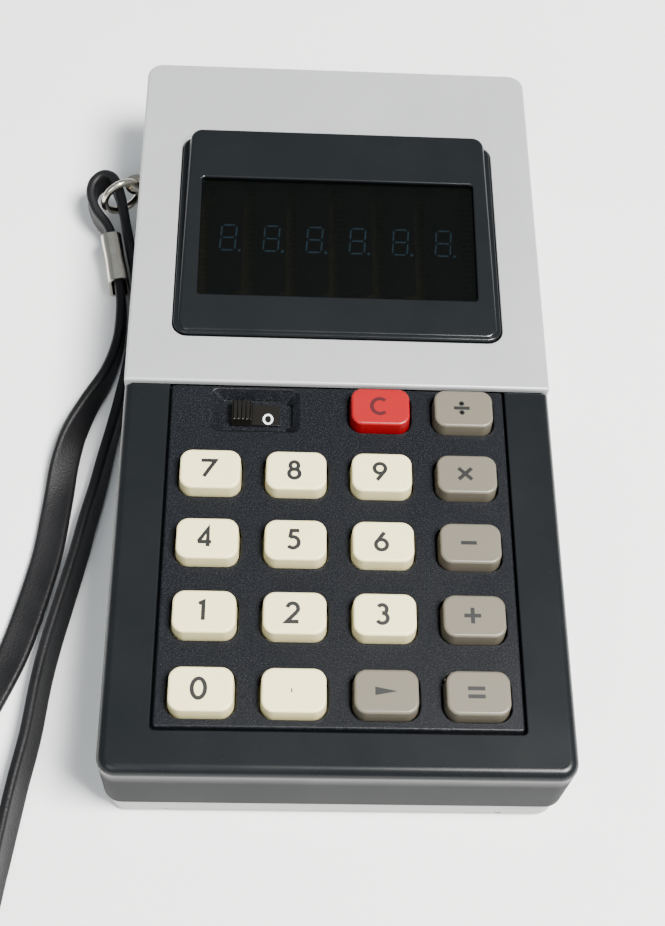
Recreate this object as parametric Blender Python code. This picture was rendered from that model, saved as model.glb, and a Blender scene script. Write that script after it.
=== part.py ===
"""Pocket calculator with a fluorescent display, eighteen keys and a wrist strap.

X runs across the case, Y along it towards the display, Z up from the table.
The origin is on the table, under the middle of the case.
"""

import math

import bmesh
import bpy
from mathutils import Matrix, Vector

MM = 0.001
GAP = 0.3 * MM
SMOOTH_ANGLE = math.radians(40)

# Case
HALF_WIDTH = 40 * MM
HALF_LENGTH = 77 * MM
WALL = 1.8 * MM
CORNER = 3.3 * MM
SEAM_LOW = 7.3 * MM
SEAM_HIGH = 7.7 * MM
RIM_TOP = 24.5 * MM
RIM_ROUND = 1.8 * MM
LID_BOTTOM = 22.7 * MM
FAR_LID_TOP = 24 * MM
LOWER_INSET = 0.5 * MM
LOWER_ROUND = 1.7 * MM
FLOOR_THICK = 1.9 * MM
FASCIA_THICK = 1.2 * MM
FASCIA_TOP = 25.5 * MM
FASCIA_NEAR = -2.3 * MM

# Display
BEZEL_HALF_WIDTH = 31.5 * MM
BEZEL_NEAR = 8.1 * MM
BEZEL_FAR = 56.6 * MM
BEZEL_LIP_TOP = 26 * MM
HOOD_HALF_WIDTH = 30.7 * MM
HOOD_NEAR = 8.6 * MM
HOOD_FAR = 55.8 * MM
HOOD_NEAR_TOP = 26.3 * MM
HOOD_FAR_TOP = 29.5 * MM
HOOD_SLOPE = math.atan2(HOOD_FAR_TOP - HOOD_NEAR_TOP, HOOD_FAR - HOOD_NEAR)
WINDOW_HALF_WIDTH = 27.2 * MM
WINDOW_NEAR = 16.7 * MM
WINDOW_FAR = 44 * MM
LENS_DROP = 0.9 * MM
LENS_THICK = 1.5 * MM
TUBE_COUNT = 6
TUBE_PITCH = 8.73 * MM
TUBE_RADIUS = 3.7 * MM
TUBE_LENGTH = 30 * MM
TUBE_MIDDLE_Y = 34 * MM

# Keypad
PANEL_HALF_WIDTH = 31 * MM
PANEL_NEAR = -69.1 * MM
PANEL_FAR = -2.7 * MM
PANEL_TOP = 24.7 * MM
PANEL_BOTTOM = 21.8 * MM
PANEL_GAP = 0.6 * MM
KEY_PITCH_X = 15.45 * MM
KEY_PITCH_Y = 13.845 * MM
KEY_FIRST_ROW_Y = -7.86 * MM
KEY_BASE = (11.35 * MM, 8.25 * MM)
KEY_FACE = (10.85 * MM, 7.75 * MM)
KEY_TOP = 27.2 * MM
KEY_FLANGE = (12.9 * MM, 9.8 * MM)
KEY_FLANGE_BOTTOM = 20.7 * MM
KEY_TRAVEL = 1.6 * MM
KEY_HOLE_GAP = 0.25 * MM
KEY_ROWS = (
    (None, None, "key_clear", "key_divide"),
    ("key_7", "key_8", "key_9", "key_multiply"),
    ("key_4", "key_5", "key_6", "key_minus"),
    ("key_1", "key_2", "key_3", "key_plus"),
    ("key_0", "key_point", "key_recall", "key_equals"),
)

# Power switch
SWITCH_X = -15.4 * MM
SWITCH_Y = -7.9 * MM
SWITCH_KNOB_X = -17.9 * MM
SWITCH_TRAVEL = 5.1 * MM
WELL_MOUTH = (16.6 * MM, 9.2 * MM)
WELL_BASE = (11.6 * MM, 6.5 * MM)
WELL_FLOOR = 22.5 * MM
SLIDER_END = -10.9 * MM
SLIDER_PLATE_TOP = 23.2 * MM
SLIDER_PLATE_NEAR = 2.3 * MM
SLIDER_PLATE_FAR = 2 * MM
KNOB_BASE = (4.2 * MM, 4.6 * MM)
KNOB_FACE = (3.7 * MM, 4.1 * MM)
STEM_HALF = (1 * MM, 0.8 * MM)
STEM_BOTTOM = 19 * MM
SWITCH_BLOCK = (14 * MM, 6 * MM)
BLOCK_SLOT_BOTTOM = 18.5 * MM

# Batteries and boards
CELL_RADIUS = 7.0 * MM
CELL_LENGTH = 50.2 * MM
CELL_HEIGHT = 9.2 * MM
CELL_PITCH = 14.3 * MM
CELL_MIDDLE_Y = -39.4 * MM
NUB_RADIUS = 2.7 * MM
NUB_LENGTH = 4 * MM
NUB_STANDS = 1.2 * MM
TRAY_HALF_WIDTH = 29.6 * MM
TRAY_NEAR = -66.3 * MM
TRAY_FAR = -12.5 * MM
TRAY_TOP = 17.0 * MM
TRAY_WALL = 0.6 * MM
DOOR_HALF_WIDTH = 28.6 * MM
DOOR_LIP = 1 * MM
DOOR_FAR = -12.5 * MM
CONTACT_THICK = 0.4 * MM
BOARD_THICK = 1.4 * MM
MAIN_BOARD_BOTTOM = 5 * MM
DISPLAY_BOARD_BOTTOM = 15.5 * MM
KEYBOARD_THICK = 0.8 * MM
COMPONENT_BOTTOM = MAIN_BOARD_BOTTOM + BOARD_THICK + GAP
CHIP_HEIGHT = 4 * MM
CONVERTER_HEIGHT = 8 * MM
CAPACITOR_RADIUS = 4 * MM
CAPACITOR_Y = 42 * MM

# Screws
SCREW_PLACES = tuple((x * MM, y * MM) for y in (-72.8, 71.5) for x in (-33.5, 33.5))
POST_RADIUS = 2.3 * MM
BOSS_RADIUS = 3.4 * MM
HEAD_RADIUS = 2.2 * MM
SHANK_RADIUS = 1.0 * MM
SHANK_TOP = 16 * MM
SEAT_TOP = 2.4 * MM

# Strap and its fittings
LUG_HOLE = Vector((-42.3, 56.4, 10.5)) * MM
LUG_HOLE_RADIUS = 1.5 * MM
LUG_EYE_RADIUS = 2.4 * MM
LUG_THICK = 1 * MM
LUG_HEAD_HALF = (4 * MM, 2 * MM)
LUG_HEAD_THICK = 1.2 * MM
RING_RADIUS = 4.1 * MM
RING_WIRE_RADIUS = 0.8 * MM
RING_HEADING = math.radians(209.4)
RING_DROP = math.radians(29)
FERRULE_TOP_END = Vector((-47.3, 45.4, 4.8)) * MM
FERRULE_LOW_END = Vector((-44.9, 33.8, 3.95)) * MM
FERRULE_SIZE = (4.3 * MM, 7.5 * MM)
FERRULE_BORE = (2.6 * MM, 6.4 * MM)
STRAP_WIDTH = 5.8 * MM
STRAP_THICK = 2 * MM
STRAP_CLEAR = 0.1 * MM
STRAP_STEPS = 80
# Each point of the strap's middle line: X and Y in millimetres, how far its lower
# edge is above the table, and how far the band leans over from standing on edge.
STRAP_ROUTE = (
    (-45.89, 38.6, 1.3, 0),
    (-45.25, 35.5, 1.07, 0),
    (-44.65, 32.6, 0.86, 0),
    (-44.15, 27.6, 0.4, 0),
    (-44.4, 20.0, 0.05, 0),
    (-46.1, 12.6, 0, 5),
    (-49.2, 5.6, 0, 20),
    (-51.8, -1.2, 0, 44),
    (-53.1, -7.8, 0, 66),
    (-53.6, -14.3, 0, 82),
    (-54.1, -20.6, 0, 89),
    (-54.9, -28.4, 0, 90),
    (-57.0, -39.0, 0, 90),
    (-58.9, -46.7, 0, 90),
    (-61.0, -52.8, 0, 90),
    (-64.2, -60.5, 0, 86),
    (-68.2, -70.0, 0, 76),
    (-71.8, -80.0, 0, 58),
    (-74.2, -90.0, 0, 40),
    (-74.4, -98.5, 0, 25),
    (-71.6, -105.2, 0, 14),
    (-66.4, -107.6, 0, 5),
    (-61.4, -104.4, 0, -4),
    (-58.8, -97.6, 0, -12),
    (-57.6, -88.5, 0, -17),
    (-56.7, -81.2, 0, -20),
    (-55.6, -72.7, 0, -21),
    (-54.2, -63.8, 0, -21),
    (-53.3, -54.1, 0, -21),
    (-52.2, -46.6, 0, -21),
    (-50.7, -38.9, 0, -20),
    (-48.6, -28.3, 0, -18),
    (-47.3, -20.4, 0, -16),
    (-46.1, -14.1, 0, -13),
    (-45.1, -7.6, 0, -9),
    (-44.0, -1.0, 0, -5),
    (-42.8, 7.0, 0, -2),
    (-41.6, 17.0, 0, 0),
    (-41.4, 27.0, 0.05, 0),
    (-41.45, 34.0, 0.4, 0),
    (-42.0, 38.3, 1.2, 0),
    (-43.0, 42.6, 2.5, 0),
    (-44.1, 47.2, 3.9, 0),
    (-45.1, 51.9, 5.1, 0),
    (-46.2, 55.6, 5.5, 0),
    (-47.6, 58.4, 5.3, 0),
    (-49.7, 59.3, 4.8, 0),
    (-51.6, 57.9, 4.2, 0),
    (-52.1, 55.2, 3.6, 0),
    (-50.9, 51.6, 2.8, 0),
    (-48.6, 48.5, 2.15, 0),
    (-47.5, 46.35, 1.87, 0),
    (-46.95, 43.7, 1.68, 0),
    (-46.43, 41.2, 1.49, 0),
)

PLASTIC_BLACK = (0.012, 0.012, 0.013, 1)
PLASTIC_CREAM = (0.78, 0.76, 0.62, 1)
PLASTIC_TAUPE = (0.36, 0.33, 0.28, 1)
PLASTIC_RED = (0.75, 0.03, 0.04, 1)
SILVER = (0.62, 0.63, 0.64, 1)
STEEL = (0.6, 0.6, 0.6, 1)
BOARD_BROWN = (0.22, 0.12, 0.05, 1)
CELL_BLUE = (0.05, 0.09, 0.3, 1)


def clear_scene():
    for old in list(bpy.data.objects):
        bpy.data.objects.remove(old)


def new_collection(name):
    group = bpy.data.collections.new(name)
    bpy.context.scene.collection.children.link(group)
    return group


def to_object(name, shape, group):
    """A mesh object made from a bmesh, in a collection."""
    mesh = bpy.data.meshes.new(name)
    bmesh.ops.recalc_face_normals(shape, faces=shape.faces)
    shape.to_mesh(mesh)
    shape.free()
    made = bpy.data.objects.new(name, mesh)
    group.objects.link(made)
    return made


def shade_round(part):
    """Shade a round piece smooth, and keep its rims sharp."""
    part.data.polygons.foreach_set("use_smooth", [True] * len(part.data.polygons))
    part.data.set_sharp_from_angle(angle=SMOOTH_ANGLE)
    return part


def put_origin(part, place):
    """Move a part's origin onto its joint's axis; its mesh stays where it is."""
    part.data.transform(Matrix.Translation(-Vector(place)))
    part.location = place


def finish(part, colour, roughness, metallic=0.0):
    """Give a part its own material."""
    material = bpy.data.materials.new(part.name)
    material.use_nodes = True
    shader = material.node_tree.nodes["Principled BSDF"]
    shader.inputs["Base Color"].default_value = colour
    shader.inputs["Roughness"].default_value = roughness
    shader.inputs["Metallic"].default_value = metallic
    part.data.materials.append(material)
    return part


def upright(edge):
    return (edge.verts[0].co - edge.verts[1].co).xy.length < 1e-6


def far_upright(edge):
    return upright(edge) and edge.verts[0].co.y > 0


def at_height(height):
    """A test for the edges that lie flat at one height."""
    return lambda edge: all(abs(v.co.z - height) < 1e-6 for v in edge.verts)


def box_shape(low, high, rounds=()):
    """A box between two corners. Each of rounds is a test for edges, a radius and a number of steps."""
    low, high = Vector(low), Vector(high)
    shape = bmesh.new()
    bmesh.ops.create_cube(shape, size=1)
    bmesh.ops.scale(shape, vec=high - low, verts=shape.verts)
    bmesh.ops.translate(shape, vec=(low + high) / 2, verts=shape.verts)
    for test, radius, steps in rounds:
        edges = [edge for edge in shape.edges if test(edge)]
        bmesh.ops.bevel(shape, geom=edges, offset=radius, segments=steps, profile=0.5, affect="EDGES")
    return shape


def box(name, low, high, group, rounds=()):
    return to_object(name, box_shape(low, high, rounds), group)


def slab(name, half_x, near, far, bottom, top, group, rounds=()):
    """A box that is even about the middle of the case."""
    return box(name, (-half_x, near, bottom), (half_x, far, top), group, rounds)


def drum_shape(radius, depth, sides):
    shape = bmesh.new()
    bmesh.ops.create_cone(
        shape, cap_ends=True, segments=sides, radius1=radius, radius2=radius, depth=depth
    )
    return shape


def drum(name, radius, bottom, top, place, group, sides=20):
    """An upright cylinder over the point place, (x, y)."""
    made = to_object(name, drum_shape(radius, top - bottom, sides), group)
    made.location = (place[0], place[1], (bottom + top) / 2)
    return shade_round(made)


def tapered_box(name, base, face, middle, bottom, top, group, corner=0.0, steps=3):
    """A box whose top is smaller than its base; both sizes are full widths."""
    low = (middle[0] - base[0] / 2, middle[1] - base[1] / 2, bottom)
    high = (middle[0] + base[0] / 2, middle[1] + base[1] / 2, top)
    rounds = [(upright, corner, steps)] if corner else []
    shape = box_shape(low, high, rounds)
    for vert in shape.verts:
        if vert.co.z > (bottom + top) / 2:
            vert.co.x = middle[0] + (vert.co.x - middle[0]) * face[0] / base[0]
            vert.co.y = middle[1] + (vert.co.y - middle[1]) * face[1] / base[1]
    return to_object(name, shape, group)


def combine(part, other, operation):
    """Join or cut a part with another object, which stays as a guide."""
    step = part.modifiers.new(other.name, "BOOLEAN")
    step.operation = operation
    step.object = other
    other.hide_render = True
    other.display_type = "WIRE"
    return part


def cut(part, other):
    return combine(part, other, "DIFFERENCE")


def join(part, other):
    return combine(part, other, "UNION")


clear_scene()
PARTS = new_collection("pocket_calculator")
CUTTERS = new_collection("cutters")


def make_upper_case():
    """The black upper shell: a full-width keypad half and a slimmer half under the fascia."""
    near_end = FASCIA_NEAR - GAP
    inset = FASCIA_THICK + GAP
    below = SEAM_HIGH - MM
    case = slab(
        "upper_case", HALF_WIDTH, -HALF_LENGTH, near_end, SEAM_HIGH, RIM_TOP, PARTS,
        (
            (lambda e: upright(e) and e.verts[0].co.y < near_end - MM, CORNER, 4),
            (lambda e: at_height(RIM_TOP)(e) and min(v.co.y for v in e.verts) < near_end - MM, RIM_ROUND, 3),
        ),
    )
    far_half = slab(
        "upper_case_far", HALF_WIDTH - inset, near_end - 6 * MM, HALF_LENGTH - inset, SEAM_HIGH,
        FAR_LID_TOP, CUTTERS, ((far_upright, 2 * MM, 3),),
    )
    join(case, far_half)
    near_room = slab(
        "near_room", HALF_WIDTH - WALL, WALL - HALF_LENGTH, near_end, below, LID_BOTTOM, CUTTERS
    )
    far_room = slab(
        "far_room", HALF_WIDTH - inset - WALL, near_end - 2 * MM, HALF_LENGTH - inset - WALL, below,
        LID_BOTTOM, CUTTERS,
    )
    cut(cut(case, near_room), far_room)
    for number, place in enumerate(SCREW_PLACES, 1):
        post_top = LID_BOTTOM + 0.5 * MM
        join(case, drum(f"post_{number}", POST_RADIUS, SEAM_HIGH, post_top, place, CUTTERS, 16))
    keypad_opening = slab(
        "keypad_opening", PANEL_HALF_WIDTH + PANEL_GAP, PANEL_NEAR - PANEL_GAP, 0.6 * MM,
        20 * MM, RIM_TOP + MM, CUTTERS, ((upright, 0.8 * MM, 2),),
    )
    display_opening = slab("display_opening", 29.5 * MM, 12 * MM, 50 * MM, 20 * MM, RIM_TOP + MM, CUTTERS)
    cut(cut(case, keypad_opening), display_opening)
    for number, place in enumerate(SCREW_PLACES, 1):
        cut(case, drum(f"pilot_{number}", SHANK_RADIUS + 0.15 * MM, below, 18 * MM, place, CUTTERS, 12))
    cut(case, lug_slot("case_lug_slot", -HALF_WIDTH + inset - 0.5 * MM, -HALF_WIDTH + 5 * MM))
    return finish(case, PLASTIC_BLACK, 0.32)


def lug_slot(name, low_x, high_x):
    """The slot that the strap lug's shank passes through."""
    half_y = LUG_EYE_RADIUS + GAP
    half_z = LUG_THICK / 2 + GAP
    low = (low_x, LUG_HOLE.y - half_y, LUG_HOLE.z - half_z)
    high = (high_x, LUG_HOLE.y + half_y, LUG_HOLE.z + half_z)
    return box(name, low, high, CUTTERS)


def make_fascia():
    """The silver cover of the display half, open below and towards the keys."""
    fascia = slab(
        "display_fascia", HALF_WIDTH, FASCIA_NEAR, HALF_LENGTH, SEAM_HIGH, FASCIA_TOP, PARTS,
        ((far_upright, CORNER, 4), (at_height(FASCIA_TOP), 0.5 * MM, 2)),
    )
    room = slab(
        "fascia_room", HALF_WIDTH - FASCIA_THICK, FASCIA_NEAR - MM, HALF_LENGTH - FASCIA_THICK,
        SEAM_HIGH - MM, FAR_LID_TOP + GAP, CUTTERS, ((far_upright, 2.2 * MM, 4),),
    )
    hole = slab(
        "fascia_hole", BEZEL_HALF_WIDTH + GAP, BEZEL_NEAR - GAP, BEZEL_FAR + GAP,
        FAR_LID_TOP - MM, FASCIA_TOP + MM, CUTTERS, ((upright, 3 * MM, 4),),
    )
    cut(cut(fascia, room), hole)
    cut(fascia, lug_slot("fascia_lug_slot", -HALF_WIDTH - MM, -HALF_WIDTH + FASCIA_THICK + 0.15 * MM))
    return finish(fascia, SILVER, 0.35, 0.6)


def make_lower_case():
    """The light grey lower shell, with the battery door's opening and the screw bosses."""
    half_x = HALF_WIDTH - LOWER_INSET
    half_y = HALF_LENGTH - LOWER_INSET
    case = slab(
        "lower_case", half_x, -half_y, half_y, 0, SEAM_LOW, PARTS,
        ((upright, CORNER, 4), (at_height(0), LOWER_ROUND, 2)),
    )
    room = slab(
        "lower_room", half_x - WALL, WALL - half_y, half_y - WALL, FLOOR_THICK, SEAM_LOW + MM, CUTTERS
    )
    cut(case, room)
    for number, place in enumerate(SCREW_PLACES, 1):
        join(case, drum(f"boss_{number}", BOSS_RADIUS, 1.7 * MM, SEAM_LOW - GAP, place, CUTTERS, 16))
    for number, place in enumerate(SCREW_PLACES, 1):
        cut(case, drum(f"bore_{number}", SHANK_RADIUS + 0.3 * MM, -MM, SEAM_HIGH + MM, place, CUTTERS, 12))
        cut(case, drum(f"seat_{number}", HEAD_RADIUS + GAP, -MM, SEAT_TOP, place, CUTTERS, 16))
    far = DOOR_FAR + GAP
    doorway = slab("doorway", DOOR_HALF_WIDTH + GAP, -HALF_LENGTH - MM, far, -MM, 2.2 * MM, CUTTERS)
    lip_way = slab(
        "lip_way", DOOR_HALF_WIDTH + DOOR_LIP + GAP, -HALF_LENGTH - MM, far, 0.9 * MM, 2.2 * MM, CUTTERS
    )
    cut(cut(case, doorway), lip_way)
    return finish(case, SILVER, 0.4)


def make_battery_door():
    """The door slides out towards the near end; its side lips run over the case's floor."""
    near = LOWER_INSET - HALF_LENGTH
    door = slab(
        "battery_door", DOOR_HALF_WIDTH, near, DOOR_FAR, 0, FLOOR_THICK, PARTS,
        ((lambda e: at_height(0)(e) and max(v.co.y for v in e.verts) < near + MM, LOWER_ROUND, 2),),
    )
    lips = slab(
        "door_lips", DOOR_HALF_WIDTH + DOOR_LIP, near + 2 * MM, DOOR_FAR, 1.2 * MM, FLOOR_THICK, CUTTERS
    )
    join(door, lips)
    for number in range(5):
        y = DOOR_FAR - (8 + 2.2 * number) * MM
        cut(door, slab(f"door_groove_{number + 1}", 9 * MM, y, y + 1.1 * MM, -MM, 0.4 * MM, CUTTERS))
    put_origin(door, (0, DOOR_FAR, 0))
    return finish(door, SILVER, 0.42)


def hood_top(y):
    """The height of the display hood's sloping top."""
    return HOOD_NEAR_TOP + (y - HOOD_NEAR) * math.tan(HOOD_SLOPE)


def tilted_slab(name, half_x, near, far, bottom_drop, top_drop, group, rounds=()):
    """A slab parallel to the hood's top; its faces are given as depths below that top."""
    middle = (near + far) / 2
    half_y = (far - near) / 2 / math.cos(HOOD_SLOPE)
    made = slab(name, half_x, -half_y, half_y, -bottom_drop, -top_drop, group, rounds)
    made.location = (0, middle, hood_top(middle))
    made.rotation_euler = (HOOD_SLOPE, 0, 0)
    return made


def make_bezel():
    """The black display hood: a thin lip all round and a wedge that rises towards the far end."""
    bezel = slab(
        "display_bezel", BEZEL_HALF_WIDTH, BEZEL_NEAR, BEZEL_FAR, FAR_LID_TOP + GAP, BEZEL_LIP_TOP, PARTS,
        ((upright, 2.8 * MM, 4),),
    )
    shape = box_shape(
        (-HOOD_HALF_WIDTH, HOOD_NEAR, BEZEL_LIP_TOP - 0.6 * MM),
        (HOOD_HALF_WIDTH, HOOD_FAR, HOOD_FAR_TOP),
        ((upright, 2.2 * MM, 4),),
    )
    for vert in shape.verts:
        if vert.co.z > BEZEL_LIP_TOP:
            vert.co.z = hood_top(vert.co.y)
            vert.co.x *= 1 - 0.35 * (vert.co.z - BEZEL_LIP_TOP) / HOOD_HALF_WIDTH
    join(bezel, to_object("hood", shape, CUTTERS))
    pocket = tilted_slab(
        "lens_pocket", WINDOW_HALF_WIDTH + 1.7 * MM, WINDOW_NEAR - 1.5 * MM, WINDOW_FAR + 1.5 * MM,
        8 * MM, 0.6 * MM, CUTTERS,
    )
    tube_room = tilted_slab(
        "tube_room", TUBE_PITCH * TUBE_COUNT / 2 + MM, TUBE_MIDDLE_Y - TUBE_LENGTH / 2 - MM,
        TUBE_MIDDLE_Y + TUBE_LENGTH / 2 + MM, 8 * MM, LENS_DROP + LENS_THICK, CUTTERS,
    )
    window = tilted_slab(
        "window_opening", WINDOW_HALF_WIDTH, WINDOW_NEAR, WINDOW_FAR, 3 * MM, -2 * MM, CUTTERS,
        ((upright, 0.6 * MM, 2),),
    )
    cut(cut(cut(bezel, pocket), tube_room), window)
    return finish(bezel, PLASTIC_BLACK, 0.25)


def make_lens():
    lens = tilted_slab(
        "display_window", WINDOW_HALF_WIDTH + 1.3 * MM, WINDOW_NEAR - 1.1 * MM, WINDOW_FAR + 1.1 * MM,
        LENS_DROP + LENS_THICK, LENS_DROP, PARTS,
    )
    finish(lens, (0.01, 0.012, 0.012, 1), 0.05)


def make_tubes():
    """Six single-digit fluorescent tubes side by side under the window."""
    height = hood_top(TUBE_MIDDLE_Y) - LENS_DROP - LENS_THICK - 0.4 * MM - TUBE_RADIUS
    for number in range(TUBE_COUNT):
        shape = drum_shape(TUBE_RADIUS, TUBE_LENGTH, 16)
        rims = [e for e in shape.edges if abs(e.verts[0].co.z - e.verts[1].co.z) < 1e-6]
        bmesh.ops.bevel(shape, geom=rims, offset=1.6 * MM, segments=2, profile=0.5, affect="EDGES")
        tube = to_object(f"vfd_tube_{number + 1}", shape, PARTS)
        tube.location = ((number - (TUBE_COUNT - 1) / 2) * TUBE_PITCH, TUBE_MIDDLE_Y, height)
        tube.rotation_euler = (math.radians(90) + HOOD_SLOPE, 0, 0)
        shade_round(tube)
        finish(tube, (0.3, 0.34, 0.33, 1), 0.06)


def key_place(row, column):
    return ((column - 1.5) * KEY_PITCH_X, KEY_FIRST_ROW_Y - row * KEY_PITCH_Y)


def keys():
    """Each key's name and its place, (x, y)."""
    for row, names in enumerate(KEY_ROWS):
        for column, name in enumerate(names):
            if name:
                yield name, key_place(row, column)


def make_panel():
    """The keypad plate, with the switch's sloped well; a thin flange below holds it in the case."""
    panel = slab(
        "keypad_panel", PANEL_HALF_WIDTH, PANEL_NEAR, PANEL_FAR, PANEL_BOTTOM, PANEL_TOP, PARTS,
        ((upright, 0.6 * MM, 2), (at_height(PANEL_TOP), 0.4 * MM, 2)),
    )
    flange = slab(
        "panel_flange", PANEL_HALF_WIDTH + 1.6 * MM, PANEL_NEAR - MM, 2 * MM,
        PANEL_BOTTOM, PANEL_BOTTOM + 0.6 * MM, CUTTERS,
    )
    join(panel, flange)
    hole_size = (KEY_BASE[0] + 2 * KEY_HOLE_GAP, KEY_BASE[1] + 2 * KEY_HOLE_GAP)
    for name, place in keys():
        hole = tapered_box(
            f"hole_{name}", hole_size, hole_size, place, PANEL_BOTTOM - MM, PANEL_TOP + MM, CUTTERS,
            2.6 * MM,
        )
        cut(panel, hole)
    well = tapered_box(
        "switch_well", WELL_BASE, WELL_MOUTH, (SWITCH_X, SWITCH_Y), WELL_FLOOR, PANEL_TOP + 0.1 * MM, CUTTERS
    )
    stem_slot = stem_way("stem_slot", PANEL_BOTTOM - MM, WELL_FLOOR + 0.1 * MM)
    plate_way = box(
        "plate_way", (SWITCH_X, SWITCH_Y - SLIDER_PLATE_NEAR - GAP, WELL_FLOOR),
        (
            SLIDER_END + SWITCH_TRAVEL + GAP, SWITCH_Y + SLIDER_PLATE_FAR + GAP,
            SLIDER_PLATE_TOP + GAP - 0.05 * MM,
        ),
        CUTTERS,
    )
    cut(cut(cut(panel, well), stem_slot), plate_way)
    return finish(panel, PLASTIC_BLACK, 0.45)


def make_keys():
    """Each key has a drafted cap, and a flange under the panel that stops it from coming out."""
    colours = {"key_clear": PLASTIC_RED}
    operators = ("key_divide", "key_multiply", "key_minus", "key_plus", "key_equals", "key_recall")
    colours.update({name: PLASTIC_TAUPE for name in operators})
    for name, (x, y) in keys():
        key = tapered_box(
            name, KEY_BASE, KEY_FACE, (x, y), KEY_FLANGE_BOTTOM + 0.4 * MM, KEY_TOP, PARTS, 2.4 * MM
        )
        flange = box(
            f"flange_{name}", (x - KEY_FLANGE[0] / 2, y - KEY_FLANGE[1] / 2, KEY_FLANGE_BOTTOM),
            (x + KEY_FLANGE[0] / 2, y + KEY_FLANGE[1] / 2, PANEL_BOTTOM - GAP), CUTTERS,
        )
        join(key, flange)
        put_origin(key, (x, y, KEY_TOP))
        finish(key, colours.get(name, PLASTIC_CREAM), 0.4)


def stem_way(name, bottom, top):
    """The slot that the switch's stem slides along."""
    reach_x, reach_y = STEM_HALF[0] + GAP, STEM_HALF[1] + GAP
    low = (SWITCH_KNOB_X - reach_x, SWITCH_Y - reach_y, bottom)
    high = (SWITCH_KNOB_X + SWITCH_TRAVEL + reach_x, SWITCH_Y + reach_y, top)
    return box(name, low, high, CUTTERS)


def make_switch():
    """The power switch: a knob with a marked plate beside it, and the contact block below."""
    slider_bottom = WELL_FLOOR + GAP - 0.05 * MM
    slider = box(
        "power_switch_slider", (SWITCH_KNOB_X - STEM_HALF[0], SWITCH_Y - SLIDER_PLATE_NEAR, slider_bottom),
        (SLIDER_END, SWITCH_Y + SLIDER_PLATE_FAR, SLIDER_PLATE_TOP), PARTS,
    )
    knob_place = (SWITCH_KNOB_X, SWITCH_Y)
    knob = tapered_box(
        "slider_knob", KNOB_BASE, KNOB_FACE, knob_place, slider_bottom, PANEL_TOP + 0.1 * MM, CUTTERS
    )
    stem = box(
        "slider_stem", (SWITCH_KNOB_X - STEM_HALF[0], SWITCH_Y - STEM_HALF[1], STEM_BOTTOM),
        (SWITCH_KNOB_X + STEM_HALF[0], SWITCH_Y + STEM_HALF[1], WELL_FLOOR + 0.5 * MM), CUTTERS,
    )
    join(join(slider, knob), stem)
    put_origin(slider, (*knob_place, WELL_FLOOR))
    finish(slider, PLASTIC_BLACK, 0.4)
    block = tapered_box(
        "slide_switch", SWITCH_BLOCK, SWITCH_BLOCK, (SWITCH_X, SWITCH_Y), TRAY_TOP + GAP,
        PANEL_BOTTOM - GAP, PARTS,
    )
    cut(block, stem_way("block_slot", BLOCK_SLOT_BOTTOM, PANEL_BOTTOM))
    finish(block, STEEL, 0.4, 0.8)


def keyboard_layer(name, bottom, top, margin):
    """A sheet under all the keys, notched round the power switch."""
    layer = slab(
        name, PANEL_HALF_WIDTH - margin, PANEL_NEAR + margin, PANEL_FAR - margin, bottom, top, PARTS
    )
    notch = box(
        f"{name}_notch", (SWITCH_X - 8 * MM, SWITCH_Y - 4 * MM, bottom - MM),
        (SWITCH_X + 8 * MM, MM, top + MM), CUTTERS,
    )
    return cut(layer, notch)


def make_boards():
    keyboard_top = TRAY_TOP + GAP + KEYBOARD_THICK
    keyboard = keyboard_layer("keyboard_board", TRAY_TOP + GAP, keyboard_top, GAP)
    finish(keyboard, BOARD_BROWN, 0.5)
    sheet_bottom = keyboard_top + GAP
    sheet = keyboard_layer("contact_sheet", sheet_bottom, sheet_bottom + CONTACT_THICK, 0.8 * MM)
    finish(sheet, (0.3, 0.3, 0.3, 1), 0.6)
    display_board = slab(
        "display_board", 29 * MM, 14 * MM, 53 * MM, DISPLAY_BOARD_BOTTOM,
        DISPLAY_BOARD_BOTTOM + BOARD_THICK, PARTS,
    )
    finish(display_board, BOARD_BROWN, 0.5)
    main_board = slab(
        "main_board", 34 * MM, 0.5 * MM, 67 * MM, MAIN_BOARD_BOTTOM, MAIN_BOARD_BOTTOM + BOARD_THICK, PARTS
    )
    finish(main_board, BOARD_BROWN, 0.5)


def make_components():
    """The calculator chip, and the converter that makes the tubes' high voltage."""
    low = COMPONENT_BOTTOM
    chip = box("calculator_chip", (-30 * MM, 12 * MM, low), (6 * MM, 26 * MM, low + CHIP_HEIGHT), PARTS)
    finish(chip, PLASTIC_BLACK, 0.5)
    coil = box(
        "converter_coil", (12 * MM, 34 * MM, low), (27 * MM, 48 * MM, low + CONVERTER_HEIGHT), PARTS,
        ((upright, 1.5 * MM, 2),),
    )
    finish(coil, (0.25, 0.2, 0.08, 1), 0.5)
    for number, x in enumerate((-20 * MM, -6 * MM), 1):
        can = drum(
            f"capacitor_{number}", CAPACITOR_RADIUS, low, low + CONVERTER_HEIGHT, (x, CAPACITOR_Y), PARTS, 16
        )
        finish(can, (0.05, 0.1, 0.3, 1), 0.4)


def make_batteries():
    """Four AA cells lie side by side, each the other way round to its neighbour."""
    for number in range(4):
        shape = drum_shape(CELL_RADIUS, CELL_LENGTH - NUB_STANDS, 20)
        cell = to_object(f"battery_{number + 1}", shape, PARTS)
        nub = to_object(f"battery_nub_{number + 1}", drum_shape(NUB_RADIUS, NUB_LENGTH, 10), CUTTERS)
        facing = 1 if number % 2 else -1
        x = (number - 1.5) * CELL_PITCH
        cell.location = (x, CELL_MIDDLE_Y - facing * NUB_STANDS / 2, CELL_HEIGHT)
        nub.location = (x, CELL_MIDDLE_Y + facing * (CELL_LENGTH - NUB_LENGTH) / 2, CELL_HEIGHT)
        cell.rotation_euler = (math.radians(90), 0, 0)
        nub.rotation_euler = (math.radians(90), 0, 0)
        shade_round(cell)
        join(cell, shade_round(nub))
        finish(cell, CELL_BLUE, 0.3, 0.3)


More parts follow.
